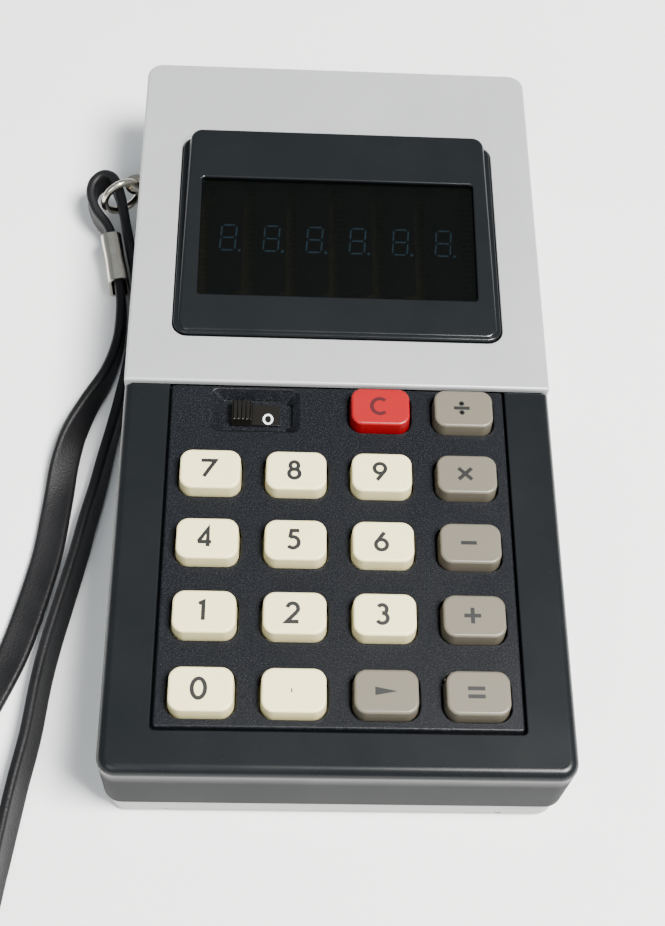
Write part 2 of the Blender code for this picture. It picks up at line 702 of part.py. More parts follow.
def make_battery_tray():
    """The tray roofs the cells over and carries a contact strip at each end."""
    bottom = FLOOR_THICK + GAP
    tray = slab("battery_tray", TRAY_HALF_WIDTH, TRAY_NEAR, TRAY_FAR, bottom, TRAY_TOP, PARTS)
    room = slab(
        "tray_room", TRAY_HALF_WIDTH - TRAY_WALL, TRAY_NEAR + TRAY_WALL, TRAY_FAR - TRAY_WALL,
        bottom - MM, TRAY_TOP - TRAY_WALL, CUTTERS,
    )
    cut(tray, room)
    finish(tray, PLASTIC_BLACK, 0.5)
    ends = (("near", TRAY_NEAR + TRAY_WALL + GAP), ("far", TRAY_FAR - TRAY_WALL - GAP - CONTACT_THICK))
    for side, y in ends:
        strip = slab(f"battery_contact_{side}", 28 * MM, y, y + CONTACT_THICK, 4 * MM, 14 * MM, PARTS)
        finish(strip, STEEL, 0.3, 1.0)


def make_screws():
    """Four screws hold the two shells together from below."""
    for number, place in enumerate(SCREW_PLACES, 1):
        screw = drum(f"case_screw_{number}", HEAD_RADIUS, 0.5 * MM, SEAT_TOP - GAP, place, PARTS, 16)
        shank = drum(f"shank_{number}", SHANK_RADIUS, 1.5 * MM, SHANK_TOP, place, CUTTERS, 10)
        recess = drum(f"recess_{number}", 0.9 * MM, 0, 1.2 * MM, place, CUTTERS, 4)
        cut(join(screw, shank), recess)
        finish(screw, STEEL, 0.35, 1.0)


def make_lug():
    """The steel lug: a flat eye outside the case and a head that anchors it inside."""
    head_x = -HALF_WIDTH + FASCIA_THICK + GAP + WALL + GAP
    low_z = LUG_HOLE.z - LUG_THICK / 2
    high_z = LUG_HOLE.z + LUG_THICK / 2
    lug = drum("strap_lug", LUG_EYE_RADIUS, low_z, high_z, LUG_HOLE, PARTS, 20)
    half_y = LUG_EYE_RADIUS - 0.2 * MM
    shank = box(
        "lug_shank", (LUG_HOLE.x, LUG_HOLE.y - half_y, low_z),
        (head_x + 0.5 * MM, LUG_HOLE.y + half_y, high_z), CUTTERS,
    )
    head = box(
        "lug_head", (head_x, LUG_HOLE.y - LUG_HEAD_HALF[0], LUG_HOLE.z - LUG_HEAD_HALF[1]),
        (head_x + LUG_HEAD_THICK, LUG_HOLE.y + LUG_HEAD_HALF[0], LUG_HOLE.z + LUG_HEAD_HALF[1]), CUTTERS,
    )
    eye = drum("lug_eye", LUG_HOLE_RADIUS, low_z - MM, high_z + MM, LUG_HOLE, CUTTERS, 16)
    cut(join(join(lug, shank), head), eye)
    finish(lug, STEEL, 0.2, 1.0)


def make_ring():
    """The ring hangs through the lug, in an upright plane, and turns about the lug's eye."""
    heading = Vector((math.cos(RING_HEADING), math.sin(RING_HEADING), 0))
    reach = RING_RADIUS * (heading * math.cos(RING_DROP) - Vector((0, 0, math.sin(RING_DROP))))
    shape = bmesh.new()
    bmesh.ops.create_circle(shape, segments=10, radius=RING_WIRE_RADIUS)
    bmesh.ops.translate(shape, vec=(RING_RADIUS, 0, 0), verts=shape.verts)
    upright_turn = Matrix.Rotation(math.radians(90), 3, "X")
    bmesh.ops.rotate(shape, cent=(RING_RADIUS, 0, 0), matrix=upright_turn, verts=shape.verts)
    bmesh.ops.spin(
        shape, geom=shape.edges[:], angle=math.tau, steps=28, axis=(0, 0, 1), cent=(0, 0, 0),
        use_merge=True,
    )
    bmesh.ops.remove_doubles(shape, verts=shape.verts, dist=0.01 * MM)
    ring = to_object("strap_ring", shape, PARTS)
    ring.matrix_world = (
        Matrix.Translation(LUG_HOLE + reach)
        @ Matrix.Rotation(RING_HEADING, 4, "Z")
        @ Matrix.Rotation(math.radians(90), 4, "X")
    )
    shade_round(ring)
    finish(ring, STEEL, 0.12, 1.0)
    return ring


def make_ferrule():
    """The crimped tube that the two ends of the strap meet in."""
    run = FERRULE_LOW_END - FERRULE_TOP_END
    ferrule = tube_along_y("strap_ferrule", FERRULE_SIZE, run.length, 1.6 * MM, PARTS)
    bore = tube_along_y("ferrule_bore", FERRULE_BORE, run.length + 2 * MM, 0.9 * MM, CUTTERS)
    for piece in (ferrule, bore):
        turn = run.to_track_quat("-Y", "Z").to_matrix().to_4x4()
        piece.matrix_world = Matrix.Translation((FERRULE_TOP_END + FERRULE_LOW_END) / 2) @ turn
    cut(ferrule, bore)
    return finish(ferrule, STEEL, 0.25, 1.0)


def tube_along_y(name, size, length, radius, group):
    """A rounded bar along Y; size is its width and height."""
    return box(
        name, (-size[0] / 2, -length / 2, -size[1] / 2), (size[0] / 2, length / 2, size[1] / 2), group,
        ((lambda e: abs((e.verts[0].co - e.verts[1].co).y) > MM, radius, 2),),
    )


def strap_point(entry):
    """One point of the strap's middle line, with its lean in radians."""
    x, y, lift, lean_degrees = entry
    lean = math.radians(lean_degrees)
    half_height = (STRAP_WIDTH - STRAP_THICK) / 2 * math.cos(lean) + STRAP_THICK / 2
    return Vector((x * MM, y * MM, lift * MM + STRAP_CLEAR + half_height, lean))


def smooth_line(points, count):
    """Points evenly spread in parameter along a smooth curve through the given points."""
    ends = [2 * points[0] - points[1]] + points + [2 * points[-1] - points[-2]]
    line = []
    for step in range(count):
        whole = step / (count - 1) * (len(points) - 1)
        index = min(int(whole), len(points) - 2)
        t = whole - index
        a, b, c, d = ends[index:index + 4]
        line.append(
            0.5 * (2 * b + t * (c - a) + t * t * (2 * a - 5 * b + 4 * c - d)
                   + t * t * t * (3 * b - a - 3 * c + d))
        )
    return line


def make_strap():
    """The flat wrist strap, one band from the ferrule through the ring and round to the ferrule."""
    line = smooth_line([strap_point(entry) for entry in STRAP_ROUTE], STRAP_STEPS)
    curve = bpy.data.curves.new("wrist_strap", "CURVE")
    curve.dimensions = "3D"
    curve.twist_mode = "Z_UP"
    curve.bevel_depth = STRAP_THICK / 2
    curve.extrude = (STRAP_WIDTH - STRAP_THICK) / 2
    curve.bevel_resolution = 2
    curve.use_fill_caps = True
    spline = curve.splines.new("POLY")
    spline.points.add(len(line) - 1)
    for point, place in zip(spline.points, line):
        point.co = (*place[:3], 1)
        point.tilt = place[3]
    strap = bpy.data.objects.new("wrist_strap", curve)
    PARTS.objects.link(strap)
    return finish(strap, (0.008, 0.008, 0.009, 1), 0.5)


def hang_from_lug(*parts):
    """Parent the pieces that swivel together to an empty on the axis of the lug's eye."""
    pivot = bpy.data.objects.new("strap_pivot", None)
    pivot.location = LUG_HOLE
    PARTS.objects.link(pivot)
    for part in parts:
        part.parent = pivot
        part.matrix_parent_inverse = Matrix.Translation(-LUG_HOLE)


make_upper_case()
make_fascia()
make_lower_case()
make_battery_door()
make_bezel()
make_lens()
make_tubes()
make_panel()
make_keys()
make_switch()
make_boards()
make_components()
make_batteries()
make_battery_tray()
make_screws()
make_lug()
hang_from_lug(make_ring(), make_ferrule(), make_strap())
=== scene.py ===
"""The looks of a pocket calculator with a fluorescent display, eighteen keys and a wrist strap."""

import math

import bmesh
import bpy
from mathutils import Matrix, Vector


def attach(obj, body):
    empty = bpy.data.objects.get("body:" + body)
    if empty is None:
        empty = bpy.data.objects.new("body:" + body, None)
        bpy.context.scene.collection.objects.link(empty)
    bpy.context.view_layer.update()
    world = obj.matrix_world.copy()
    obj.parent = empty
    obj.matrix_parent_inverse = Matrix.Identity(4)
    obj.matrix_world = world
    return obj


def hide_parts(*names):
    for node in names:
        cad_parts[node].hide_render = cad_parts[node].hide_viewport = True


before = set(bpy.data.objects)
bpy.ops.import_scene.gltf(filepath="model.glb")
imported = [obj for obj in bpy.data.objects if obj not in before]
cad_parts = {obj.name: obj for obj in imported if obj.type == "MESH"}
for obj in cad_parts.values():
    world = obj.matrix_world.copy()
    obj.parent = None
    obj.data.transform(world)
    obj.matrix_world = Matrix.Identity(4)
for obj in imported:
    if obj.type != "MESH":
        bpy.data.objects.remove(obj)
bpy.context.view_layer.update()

# Camera: hand-held above the near end and a little to the left, looking down at the keys.
# It is rolled by a few degrees, so the calculator seems to lean to the left.
MM = 0.001
LOOK_DOWN = math.radians(60.93)
LOOK_ASIDE = math.radians(-5.43)
CAMERA_ROLL = math.radians(6.05)
camera_data = bpy.data.cameras.new("camera")
camera_data.lens = 56.37
camera_data.sensor_width = 36
camera = bpy.data.objects.new("camera", camera_data)
bpy.context.scene.collection.objects.link(camera)
camera.location = Vector((-13.24, -146.73, 255.99)) * MM
camera.rotation_euler = (
    Matrix.Rotation(LOOK_ASIDE, 4, "Z")
    @ Matrix.Rotation(math.radians(90) - LOOK_DOWN, 4, "X")
    @ Matrix.Rotation(CAMERA_ROLL, 4, "Z")
).to_euler()
bpy.context.scene.camera = camera

# Wrist strap: a flat band of black grained vinyl folded over a core, in one loop. It runs from
# the ferrule along the table, round, back beside the case, through the ring and to the ferrule.
STRAP_WIDTH = 5.8 * MM
STRAP_THICK = 2.0 * MM
STRAP_CLEAR = 0.1 * MM
STRAP_STEPS = 320
STRAP_EDGE = 0.82 * MM
STRAP_VALLEY = 0.16 * MM
SHARP = 35
# X and Y, how far the lower edge is above the table, all in mm, and the lean in degrees.
STRAP_ROUTE = (
    (-45.89, 38.6, 1.3, 0),
    (-45.25, 35.5, 1.07, 0),
    (-44.65, 32.6, 0.86, 0),
    (-44.15, 27.6, 0.4, 0),
    (-44.4, 20.0, 0.05, 0),
    (-46.1, 12.6, 0, 5),
    (-49.2, 5.6, 0, 20),
    (-51.8, -1.2, 0, 44),
    (-53.1, -7.8, 0, 66),
    (-53.6, -14.3, 0, 82),
    (-54.1, -20.6, 0, 89),
    (-54.9, -28.4, 0, 90),
    (-57.0, -39.0, 0, 90),
    (-58.9, -46.7, 0, 90),
    (-61.0, -52.8, 0, 90),
    (-64.2, -60.5, 0, 86),
    (-68.2, -70.0, 0, 76),
    (-71.8, -80.0, 0, 58),
    (-74.2, -90.0, 0, 40),
    (-74.4, -98.5, 0, 25),
    (-71.6, -105.2, 0, 14),
    (-66.4, -107.6, 0, 5),
    (-61.4, -104.4, 0, -4),
    (-58.8, -97.6, 0, -12),
    (-57.6, -88.5, 0, -17),
    (-56.7, -81.2, 0, -20),
    (-55.6, -72.7, 0, -21),
    (-54.2, -63.8, 0, -21),
    (-53.3, -54.1, 0, -21),
    (-52.2, -46.6, 0, -21),
    (-50.7, -38.9, 0, -20),
    (-48.6, -28.3, 0, -18),
    (-47.3, -20.4, 0, -16),
    (-46.1, -14.1, 0, -13),
    (-45.1, -7.6, 0, -9),
    (-44.0, -1.0, 0, -5),
    (-42.8, 7.0, 0, -2),
    (-41.6, 17.0, 0, 0),
    (-41.4, 27.0, 0.05, 0),
    (-41.45, 34.0, 0.4, 0),
    (-42.0, 38.3, 1.2, 0),
    (-43.0, 42.6, 2.5, 0),
    (-44.1, 47.2, 3.9, 0),
    (-45.1, 51.9, 5.1, 0),
    (-46.2, 55.6, 5.5, 0),
    (-47.6, 58.4, 5.3, 0),
    (-49.7, 59.3, 4.8, 0),
    (-51.6, 57.9, 4.2, 0),
    (-52.1, 55.2, 3.6, 0),
    (-50.9, 51.6, 2.8, 0),
    (-48.6, 48.5, 2.15, 0),
    (-47.5, 46.35, 1.87, 0),
    (-46.95, 43.7, 1.68, 0),
    (-46.43, 41.2, 1.49, 0),
)


class Signal:
    """A socket's value on its way to a shader. Arithmetic on Signals adds the nodes for it."""

    def __init__(self, socket):
        self.socket = socket

    def node(self, kind, settings, sockets, out=0):
        """Another node: its settings are set first, then the value or link of each socket."""
        made = self.socket.node.id_data.nodes.new("ShaderNode" + kind)
        for name, value in settings.items():
            if name == "stops":
                ramp = made.color_ramp
                while len(ramp.elements) < len(value):
                    ramp.elements.new(0.5)
                for element, (place, grey) in zip(ramp.elements, value):
                    element.position = place
                    element.color = (grey, grey, grey, 1)
            else:
                setattr(made, name, value)
        for name, value in sockets.items():
            if isinstance(value, Signal):
                made.id_data.links.new(value.socket, made.inputs[name])
            else:
                made.inputs[name].default_value = value
        return Signal(made.outputs[out])

    def maths(self, operation, first, second):
        return self.node("Math", {"operation": operation}, {0: first, 1: second})

    def __add__(self, other):
        return self.maths("ADD", self, other)

    __radd__ = __add__

    def __sub__(self, other):
        return self.maths("SUBTRACT", self, other)

    def __rsub__(self, other):
        return self.maths("SUBTRACT", other, self)

    def __mul__(self, other):
        return self.maths("MULTIPLY", self, other)

    __rmul__ = __mul__

    def mix(self, first, second):
        """A colour between two colours, with this signal as the share of the second."""
        sockets = {0: self, 6: (*first, 1), 7: (*second, 1)}
        return self.node("Mix", {"data_type": "RGBA"}, sockets, out=2)

    def ramp(self, *stops):
        return self.node("ValToRGB", {"stops": stops}, {"Fac": self})

    def speckle(self, size, detail=2.0, roughness=0.5, stretch=(1, 1, 1)):
        """Soft noise over a place in metres, with blotches of about the size given in mm."""
        scale = tuple(axis / (size * MM) for axis in stretch)
        place = self.node("Mapping", {"vector_type": "POINT"}, {"Vector": self, "Scale": scale})
        sockets = {"Vector": place, "Scale": 1.0, "Detail": detail, "Roughness": roughness}
        return place.node("TexNoise", {}, sockets)

    def grains(self, size):
        """Rounded grains of about the size given in mm, as in moulded or leathery texture."""
        return self.node("TexVoronoi", {}, {"Vector": self, "Scale": 1 / (size * MM)}, out="Distance")


class Finish:
    """A material being made: .place is the point on the piece, in metres, and .shader its shader."""

    def __init__(self, name, **sockets):
        self.material = bpy.data.materials.new(name)
        self.material.use_nodes = True
        self.shader = self.material.node_tree.nodes["Principled BSDF"]
        for socket, value in sockets.items():
            self.set(socket.replace("_", " "), value)
        coordinates = self.material.node_tree.nodes.new("ShaderNodeTexCoord")
        self.place = Signal(coordinates.outputs["Object"])

    def set(self, socket, value):
        target = self.shader.inputs[socket]
        if isinstance(value, Signal):
            self.material.node_tree.links.new(value.socket, target)
        else:
            target.default_value = (*value, 1) if isinstance(value, tuple) else value

    def bump(self, height, depth, strength):
        """Raise the surface by depth mm where height is 1."""
        sockets = {"Height": height, "Distance": depth * MM, "Strength": strength}
        self.set("Normal", self.place.node("Bump", {}, sockets))

    def heights(self, low, high):
        """How high the place is, as 0 at low mm and 1 at high mm above the table."""
        z = self.place.node("SeparateXYZ", {}, {0: self.place}, out="Z")
        return z.node("MapRange", {}, {"Value": z, "From Min": low * MM, "From Max": high * MM})


def shade(piece, sharp=SHARP):
    """Smooth shading, apart from edges that turn by more than the angle given in degrees."""
    piece.data.shade_smooth()
    piece.data.set_sharp_from_angle(angle=math.radians(sharp))
    if "even shading" not in piece.modifiers:
        even = piece.modifiers.new("even shading", "WEIGHTED_NORMAL")
        even.keep_sharp = True


def piece_from(name, shape, finish, sharp=SHARP):
    mesh = bpy.data.meshes.new(name)
    shape.to_mesh(mesh)
    shape.free()
    mesh.materials.append(finish.material)
    made = bpy.data.objects.new(name, mesh)
    bpy.context.scene.collection.objects.link(made)
    shade(made, sharp)
    return made


def loft(name, rings, finish, loop=False, sharp=SHARP):
    """Rings of points, in metres, joined into one skin: closed by end faces, or in a loop."""
    shape = bmesh.new()
    layers = [[shape.verts.new(point) for point in ring] for ring in rings]
    count = len(rings[0])
    pairs = list(zip(layers, layers[1:]))
    if loop:
        pairs.append((layers[-1], layers[0]))
    for low, high in pairs:
        for index in range(count):
            after = (index + 1) % count
            shape.faces.new((low[index], low[after], high[after], high[index]))
    if not loop:
        shape.faces.new(layers[0][::-1])
        shape.faces.new(layers[-1])
    bmesh.ops.recalc_face_normals(shape, faces=shape.faces)
    return piece_from(name, shape, finish, sharp)


def strap_point(entry):
    x, y, lift, lean_degrees = entry
    lean = math.radians(lean_degrees)
    half_height = (STRAP_WIDTH - STRAP_THICK) / 2 * math.cos(lean) + STRAP_THICK / 2
    return Vector((x * MM, y * MM, lift * MM + STRAP_CLEAR + half_height, lean))


def smooth_line(points, count):
    """A smooth curve through the points, as count points evenly spaced between each two."""
    ends = [2 * points[0] - points[1]] + points + [2 * points[-1] - points[-2]]
    line = []
    for step in range(count):
        whole = step / (count - 1) * (len(points) - 1)
        index = min(int(whole), len(points) - 2)
        t = whole - index
        a, b, c, d = ends[index:index + 4]
        cubic = t * t * t * (3 * b - a - 3 * c + d)
        line.append(0.5 * (2 * b + t * (c - a) + t * t * (2 * a - 5 * b + 4 * c - d) + cubic))
    return line


def band_section():
    """The band's section, (across, through): soft edges and a shallow valley along each face."""
    points = []
    half_x, half_y, radius = STRAP_WIDTH / 2, STRAP_THICK / 2, STRAP_EDGE
    for side_x, side_y, start in ((1, -1, -90), (1, 1, 0), (-1, 1, 90), (-1, -1, 180)):
        for step in range(6):
            angle = math.radians(start + 90 * step / 5)
            across = side_x * (half_x - radius) + radius * math.cos(angle)
            through = side_y * (half_y - radius) + radius * math.sin(angle)
            points.append((across, through))
        if start in (0, 180):
            for share in (0.75, 0.4, 0, -0.4, -0.75):
                across = side_x * share * (half_x - radius)
                sag = STRAP_VALLEY * (1 - share * share)
                points.append((across, side_y * (half_y - sag)))
    return points


def strap_rings(line):
    rings = []
    section = band_section()
    for index, point in enumerate(line):
        before = line[max(index - 1, 0)].xyz
        after = line[min(index + 1, len(line) - 1)].xyz
        ahead = (after - before).normalized()
        right = ahead.cross(Vector((0, 0, 1))).normalized()
        up = right.cross(ahead)
        lean = point[3]
        across = up * math.cos(lean) + right * math.sin(lean)
        through = right * math.cos(lean) - up * math.sin(lean)
        rings.append([point.xyz + across * a + through * t for a, t in section])
    return rings


strap_vinyl = Finish("strap vinyl", Specular_IOR_Level=0.2)
hide_grain = strap_vinyl.place.grains(0.42)
hide_creases = strap_vinyl.place.speckle(1.1, 3.0, 0.6)
worn = strap_vinyl.place.speckle(9)
strap_vinyl.bump(hide_grain + 0.5 * hide_creases, 0.05, 0.7)
strap_vinyl.set("Roughness", 0.34 + 0.18 * worn + 0.12 * hide_creases)
strap_vinyl.set("Base Color", worn.mix((0.003, 0.003, 0.0035), (0.009, 0.009, 0.01)))
strap_line = smooth_line([strap_point(entry) for entry in STRAP_ROUTE], STRAP_STEPS)
strap = loft("strap_band", strap_rings(strap_line), strap_vinyl, sharp=60)
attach(strap, "strap")
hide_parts("wrist_strap")

# Ferrule: a pressed tube of thin plated strip, crimped onto the two ends of the band that meet
# inside it. Its mouths are rolled, and its plating is warm, hazy and a little scratched.
FERRULE_TOP_END = Vector((-47.3, 45.4, 4.8)) * MM
FERRULE_LOW_END = Vector((-44.9, 33.8, 3.95)) * MM
FERRULE_HALF = (2.15 * MM, 3.75 * MM)
FERRULE_WALL = 0.6 * MM
MOUTH_ROUND = 0.25
CRIMP_DEPTH = 0.13
CRIMP_ALONG = 6
CRIMP_LENGTH = 2.2
plating = Finish("warm plating", Metallic=1.0)
plate_haze = plating.place.speckle(2.2, 3.0, 0.6)
plate_scratch = plating.place.speckle(0.25, stretch=(3, 0.2, 1))
plating.set("Roughness", 0.1 + 0.22 * plate_haze)
plating.set("Base Color", plate_haze.mix((0.7, 0.66, 0.58), (0.5, 0.45, 0.37)))
plating.bump(plate_scratch, 0.004, 0.4)


def outline(middle, half, corners, z, steps=8):
    """A rounded rectangle at height z; corners are the near and the far corners' radii."""
    near, far = corners
    points = []
    turns = ((1, -1, near, -90), (1, 1, far, 0), (-1, 1, far, 90), (-1, -1, near, 180))
    for side_x, side_y, radius, start in turns:
        for step in range(steps + 1):
            angle = math.radians(start + 90 * step / steps)
            x = middle[0] + side_x * (half[0] - radius) + radius * math.cos(angle)
            y = middle[1] + side_y * (half[1] - radius) + radius * math.sin(angle)
            points.append((x, y, z))
    return points


def ferrule_rings():
    """Outlines down the outside and back up the inside, each with its inset and place in mm."""
    run = FERRULE_LOW_END - FERRULE_TOP_END
    ahead = run.normalized()
    right = ahead.cross(Vector((0, 0, 1))).normalized()
    up = right.cross(ahead)
    rings = []
    length = run.length
    skins = [(0.0, along) for along in (0.15, 0.5, 1.2, 2.4, 4, 5.5, 6.35, 7.7, 9.4, 10.6, 11.3, 11.7)]
    skins = [(MOUTH_ROUND, 0.0)] + skins + [(MOUTH_ROUND, 11.85)]
    skins += [(FERRULE_WALL / MM, along) for along in (11.8, 6, 0.05)]
    for inset, along in skins:
        middle = FERRULE_TOP_END + ahead * min(along * MM, length)
        pinch = 0
        if inset <= MOUTH_ROUND:
            pinch = CRIMP_DEPTH * math.exp(-((along - CRIMP_ALONG) / CRIMP_LENGTH) ** 2)
        half = (FERRULE_HALF[0] - (inset + pinch) * MM, FERRULE_HALF[1] - inset * MM)
        flat = outline((0, 0), half, (max(1.6 - inset, 0.8) * MM,) * 2, 0, 6)
        rings.append([middle + right * x + up * y for x, y, _ in flat])
    return rings


ferrule = loft("ferrule_tube", ferrule_rings(), plating, loop=True, sharp=50)
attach(ferrule, "strap")
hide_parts("strap_ferrule")

# Ring and lug: a ring of round plated wire that hangs in the eye of a flat plated lug, which
# comes out of a slot in the left side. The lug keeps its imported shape.
LUG_HOLE = Vector((-42.3, 56.4, 10.5)) * MM
RING_RADIUS = 4.1 * MM
RING_WIRE = 0.8 * MM
RING_HEADING = math.radians(209.4)
RING_DROP = math.radians(29)
RING_STEPS = 72
WIRE_STEPS = 16


def ring_rings():
    out = Vector((math.cos(RING_HEADING), math.sin(RING_HEADING), 0))
    up = Vector((0, 0, 1))
    middle = LUG_HOLE + RING_RADIUS * (out * math.cos(RING_DROP) - up * math.sin(RING_DROP))
    rings = []
    for step in range(RING_STEPS):
        turn = math.tau * step / RING_STEPS
        spoke = out * math.cos(turn) + up * math.sin(turn)
        side = out.cross(up)
        centre = middle + spoke * RING_RADIUS
        angles = [math.tau * k / WIRE_STEPS for k in range(WIRE_STEPS)]
        rings.append([centre + RING_WIRE * (spoke * math.cos(a) + side * math.sin(a)) for a in angles])
    return rings


def paint(node, finish):
    """Give a CAD node its finish."""
    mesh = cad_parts[node].data
    mesh.materials.clear()
    mesh.materials.append(finish.material)


ring = loft("strap_ring_wire", ring_rings(), plating, loop=True, sharp=60)
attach(ring, "strap")
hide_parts("strap_ring")
paint("strap_lug", plating)

# Table: a plain white table top. Soft light falls on it from overhead on the right, with a little
# from the near left and a pale blue room all round.
table_paint = Finish("table", Roughness=0.6)
table_mottle = table_paint.place.speckle(60, 3.0)
table_paint.set("Base Color", table_mottle.mix((0.86, 0.865, 0.87), (0.93, 0.93, 0.925)))
table_shape = bmesh.new()
bmesh.ops.create_grid(table_shape, x_segments=8, y_segments=8, size=1.2)
bmesh.ops.translate(table_shape, vec=(0, 0, -0.02 * MM), verts=table_shape.verts)
table = piece_from("table_top", table_shape, table_paint)


def soft_light(name, place, size, power, colour):
    """A square soft light that faces the middle of the case."""
    lamp = bpy.data.lights.new(name, "AREA")
    lamp.size = size
    lamp.energy = power
    lamp.color = colour
    holder = bpy.data.objects.new(name, lamp)
    bpy.context.scene.collection.objects.link(holder)
    holder.location = place
    holder.rotation_euler = (-Vector(place)).to_track_quat("-Z", "Y").to_euler()


soft_light("overhead", (0.42, -0.24, 0.95), 0.36, 44, (1, 0.985, 0.955))
soft_light("from_near_left", (-0.45, -0.75, 0.8), 0.6, 5, (0.97, 0.985, 1))
room = bpy.data.worlds.new("room")
room.use_nodes = True
background = room.node_tree.nodes["Background"]
sky_way = Signal(room.node_tree.nodes.new("ShaderNodeTexCoord").outputs["Generated"])
sky_height = sky_way.node("SeparateXYZ", {}, {0: sky_way}, "Z")
ceiling = sky_height.ramp((0.0, 0.5), (0.8, 0.3), (0.95, 0.7), (1.0, 0.7)) * 1.05
room.node_tree.links.new(ceiling.socket, background.inputs["Strength"])
background.inputs["Color"].default_value = (0.86, 0.94, 1, 1)
bpy.context.scene.world = room

# Lower shell: light grey moulded plastic with a fine eroded texture, split from the upper shell
# by a shadow gap. Four screw bosses stand in it, and the battery door slides in its floor.
HALF_WIDTH = 40 * MM
HALF_LENGTH = 77 * MM
LOWER_INSET = 0.5 * MM
LOWER_TOP = 7.3 * MM
WALL = 1.8 * MM
FLOOR = 1.9 * MM
CORNER = 3.3 * MM
SCREW_PLACES = [(x * MM, y * MM) for y in (-72.8, 71.5) for x in (-33.5, 33.5)]
DOOR_HALF = 28.6 * MM
DOOR_LIP = 1.0 * MM
DOOR_FAR = -12.5 * MM
GAP = 0.3 * MM
FOOT_RADIUS = 1.7 * MM
BOSS_RADIUS = 3.4 * MM
BORE_RADIUS = 1.3 * MM
SEAT_RADIUS = 2.5 * MM
PAST = 1.0 * MM


def block(name, middle, half, corners, levels, finish, steps=8):
    """A solid of rounded outlines; each level is (inset, height), from the bottom up.

    The corners have one radius, or one for the near corners and one for the far ones.
    """
    radii = corners if isinstance(corners, tuple) else (corners, corners)
    rings = []
    for inset, z in levels:
        shrunk = [max(radius - inset, 0.02 * MM) for radius in radii]
        rings.append(outline(middle, (half[0] - inset, half[1] - inset), shrunk, z, steps))
    return loft(name, rings, finish)


def turned(name, place, radius, levels, finish):
    """A block that is round in plan."""
    return block(name, place, (radius, radius), radius, levels, finish)


def edge_round(top, radius, outwards=False, steps=5):
    """Levels that round an edge below the height top; outwards opens a hole's mouth."""
    side = -1 if outwards else 1
    angles = [math.radians(90 * step / steps) for step in range(steps + 1)]
    return [(side * radius * (1 - math.cos(a)), top - radius + radius * math.sin(a)) for a in angles]


def foot_round(bottom, radius):
    return [(inset, 2 * bottom - z) for inset, z in reversed(edge_round(bottom, radius))]


def cut_or_join(piece, others, operation):
    for other in others:
        step = piece.modifiers.new("step", "BOOLEAN")
        step.operation = operation
        step.object = other
    piece.modifiers.move(piece.modifiers.find("even shading"), len(piece.modifiers) - 1)
    evaluated = piece.evaluated_get(bpy.context.evaluated_depsgraph_get())
    mesh = bpy.data.meshes.new_from_object(evaluated)
    piece.modifiers.clear()
    piece.data = mesh
    for other in others:
        bpy.data.objects.remove(other)
    shade(piece)


def cut(piece, *others):
    cut_or_join(piece, others, "DIFFERENCE")


def join(piece, *others):
    cut_or_join(piece, others, "UNION")


def textured(name, grain, depth):
    """Moulded plastic with an eroded grain of about the size given in mm."""
    finish = Finish(name, IOR=1.5, Specular_IOR_Level=0.22)
    pits = finish.place.grains(grain)
    fine = finish.place.speckle(grain * 0.8, 2.0, 0.6)
    finish.bump(pits + fine, depth, 0.7)
    return finish


def moulded(name, colour, roughness, grain, depth, dirt):
    """Textured plastic of one colour, with soft smudges that darken it and change its gloss."""
    finish = textured(name, grain, depth)
    smudge = finish.place.speckle(14, 3.0, 0.55)
    darker = tuple(channel * (1 - dirt) for channel in colour)
    finish.set("Base Color", smudge.mix(darker, colour))
    finish.set("Roughness", roughness - 0.06 + 0.14 * smudge)
    return finish


grey_shell = moulded("grey shell", (0.36, 0.37, 0.35), 0.42, 0.35, 0.02, 0.12)
lower_half = (HALF_WIDTH - LOWER_INSET, HALF_LENGTH - LOWER_INSET)
lower = block(
    "lower_shell", (0, 0), lower_half, (CORNER, CORNER),
    foot_round(0, FOOT_RADIUS) + edge_round(LOWER_TOP, 0.3 * MM, steps=2), grey_shell,
)
inner_half = (lower_half[0] - WALL, lower_half[1] - WALL)
lower_room = block(
    "lower_room", (0, 0), inner_half, 1.6 * MM, [(0, FLOOR), (0, LOWER_TOP + MM)], grey_shell
)
cut(lower, lower_room)
for place in SCREW_PLACES:
    join(lower, turned("boss", place, BOSS_RADIUS, [(0, 1.7 * MM), (0, LOWER_TOP - GAP)], grey_shell))
for place in SCREW_PLACES:
    mouth = [(-0.3 * MM, -PAST), (-0.3 * MM, 0), (0, 0.3 * MM), (0, 2.4 * MM)]
    bore = turned("bore", place, BORE_RADIUS, [(0, -PAST), (0, LOWER_TOP + PAST)], grey_shell)
    seat = turned("seat", place, SEAT_RADIUS, mouth, grey_shell)
    cut(lower, bore, seat)
door_middle = (0, (DOOR_FAR + GAP - HALF_LENGTH - 2 * MM) / 2)
door_reach = (DOOR_FAR + GAP + HALF_LENGTH + 2 * MM) / 2
doorway = block(
    "doorway", door_middle, (DOOR_HALF + GAP, door_reach), 0.5 * MM,
    [(0, -MM), (0, 2.2 * MM)], grey_shell, steps=3,
)
lip_way = block(
    "lip_way", door_middle, (DOOR_HALF + DOOR_LIP + GAP, door_reach), 0.5 * MM,
    [(0, 0.9 * MM), (0, 2.25 * MM)], grey_shell, steps=3,
)
cut(lower, doorway, lip_way)
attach(lower, "case")
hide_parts("lower_case")

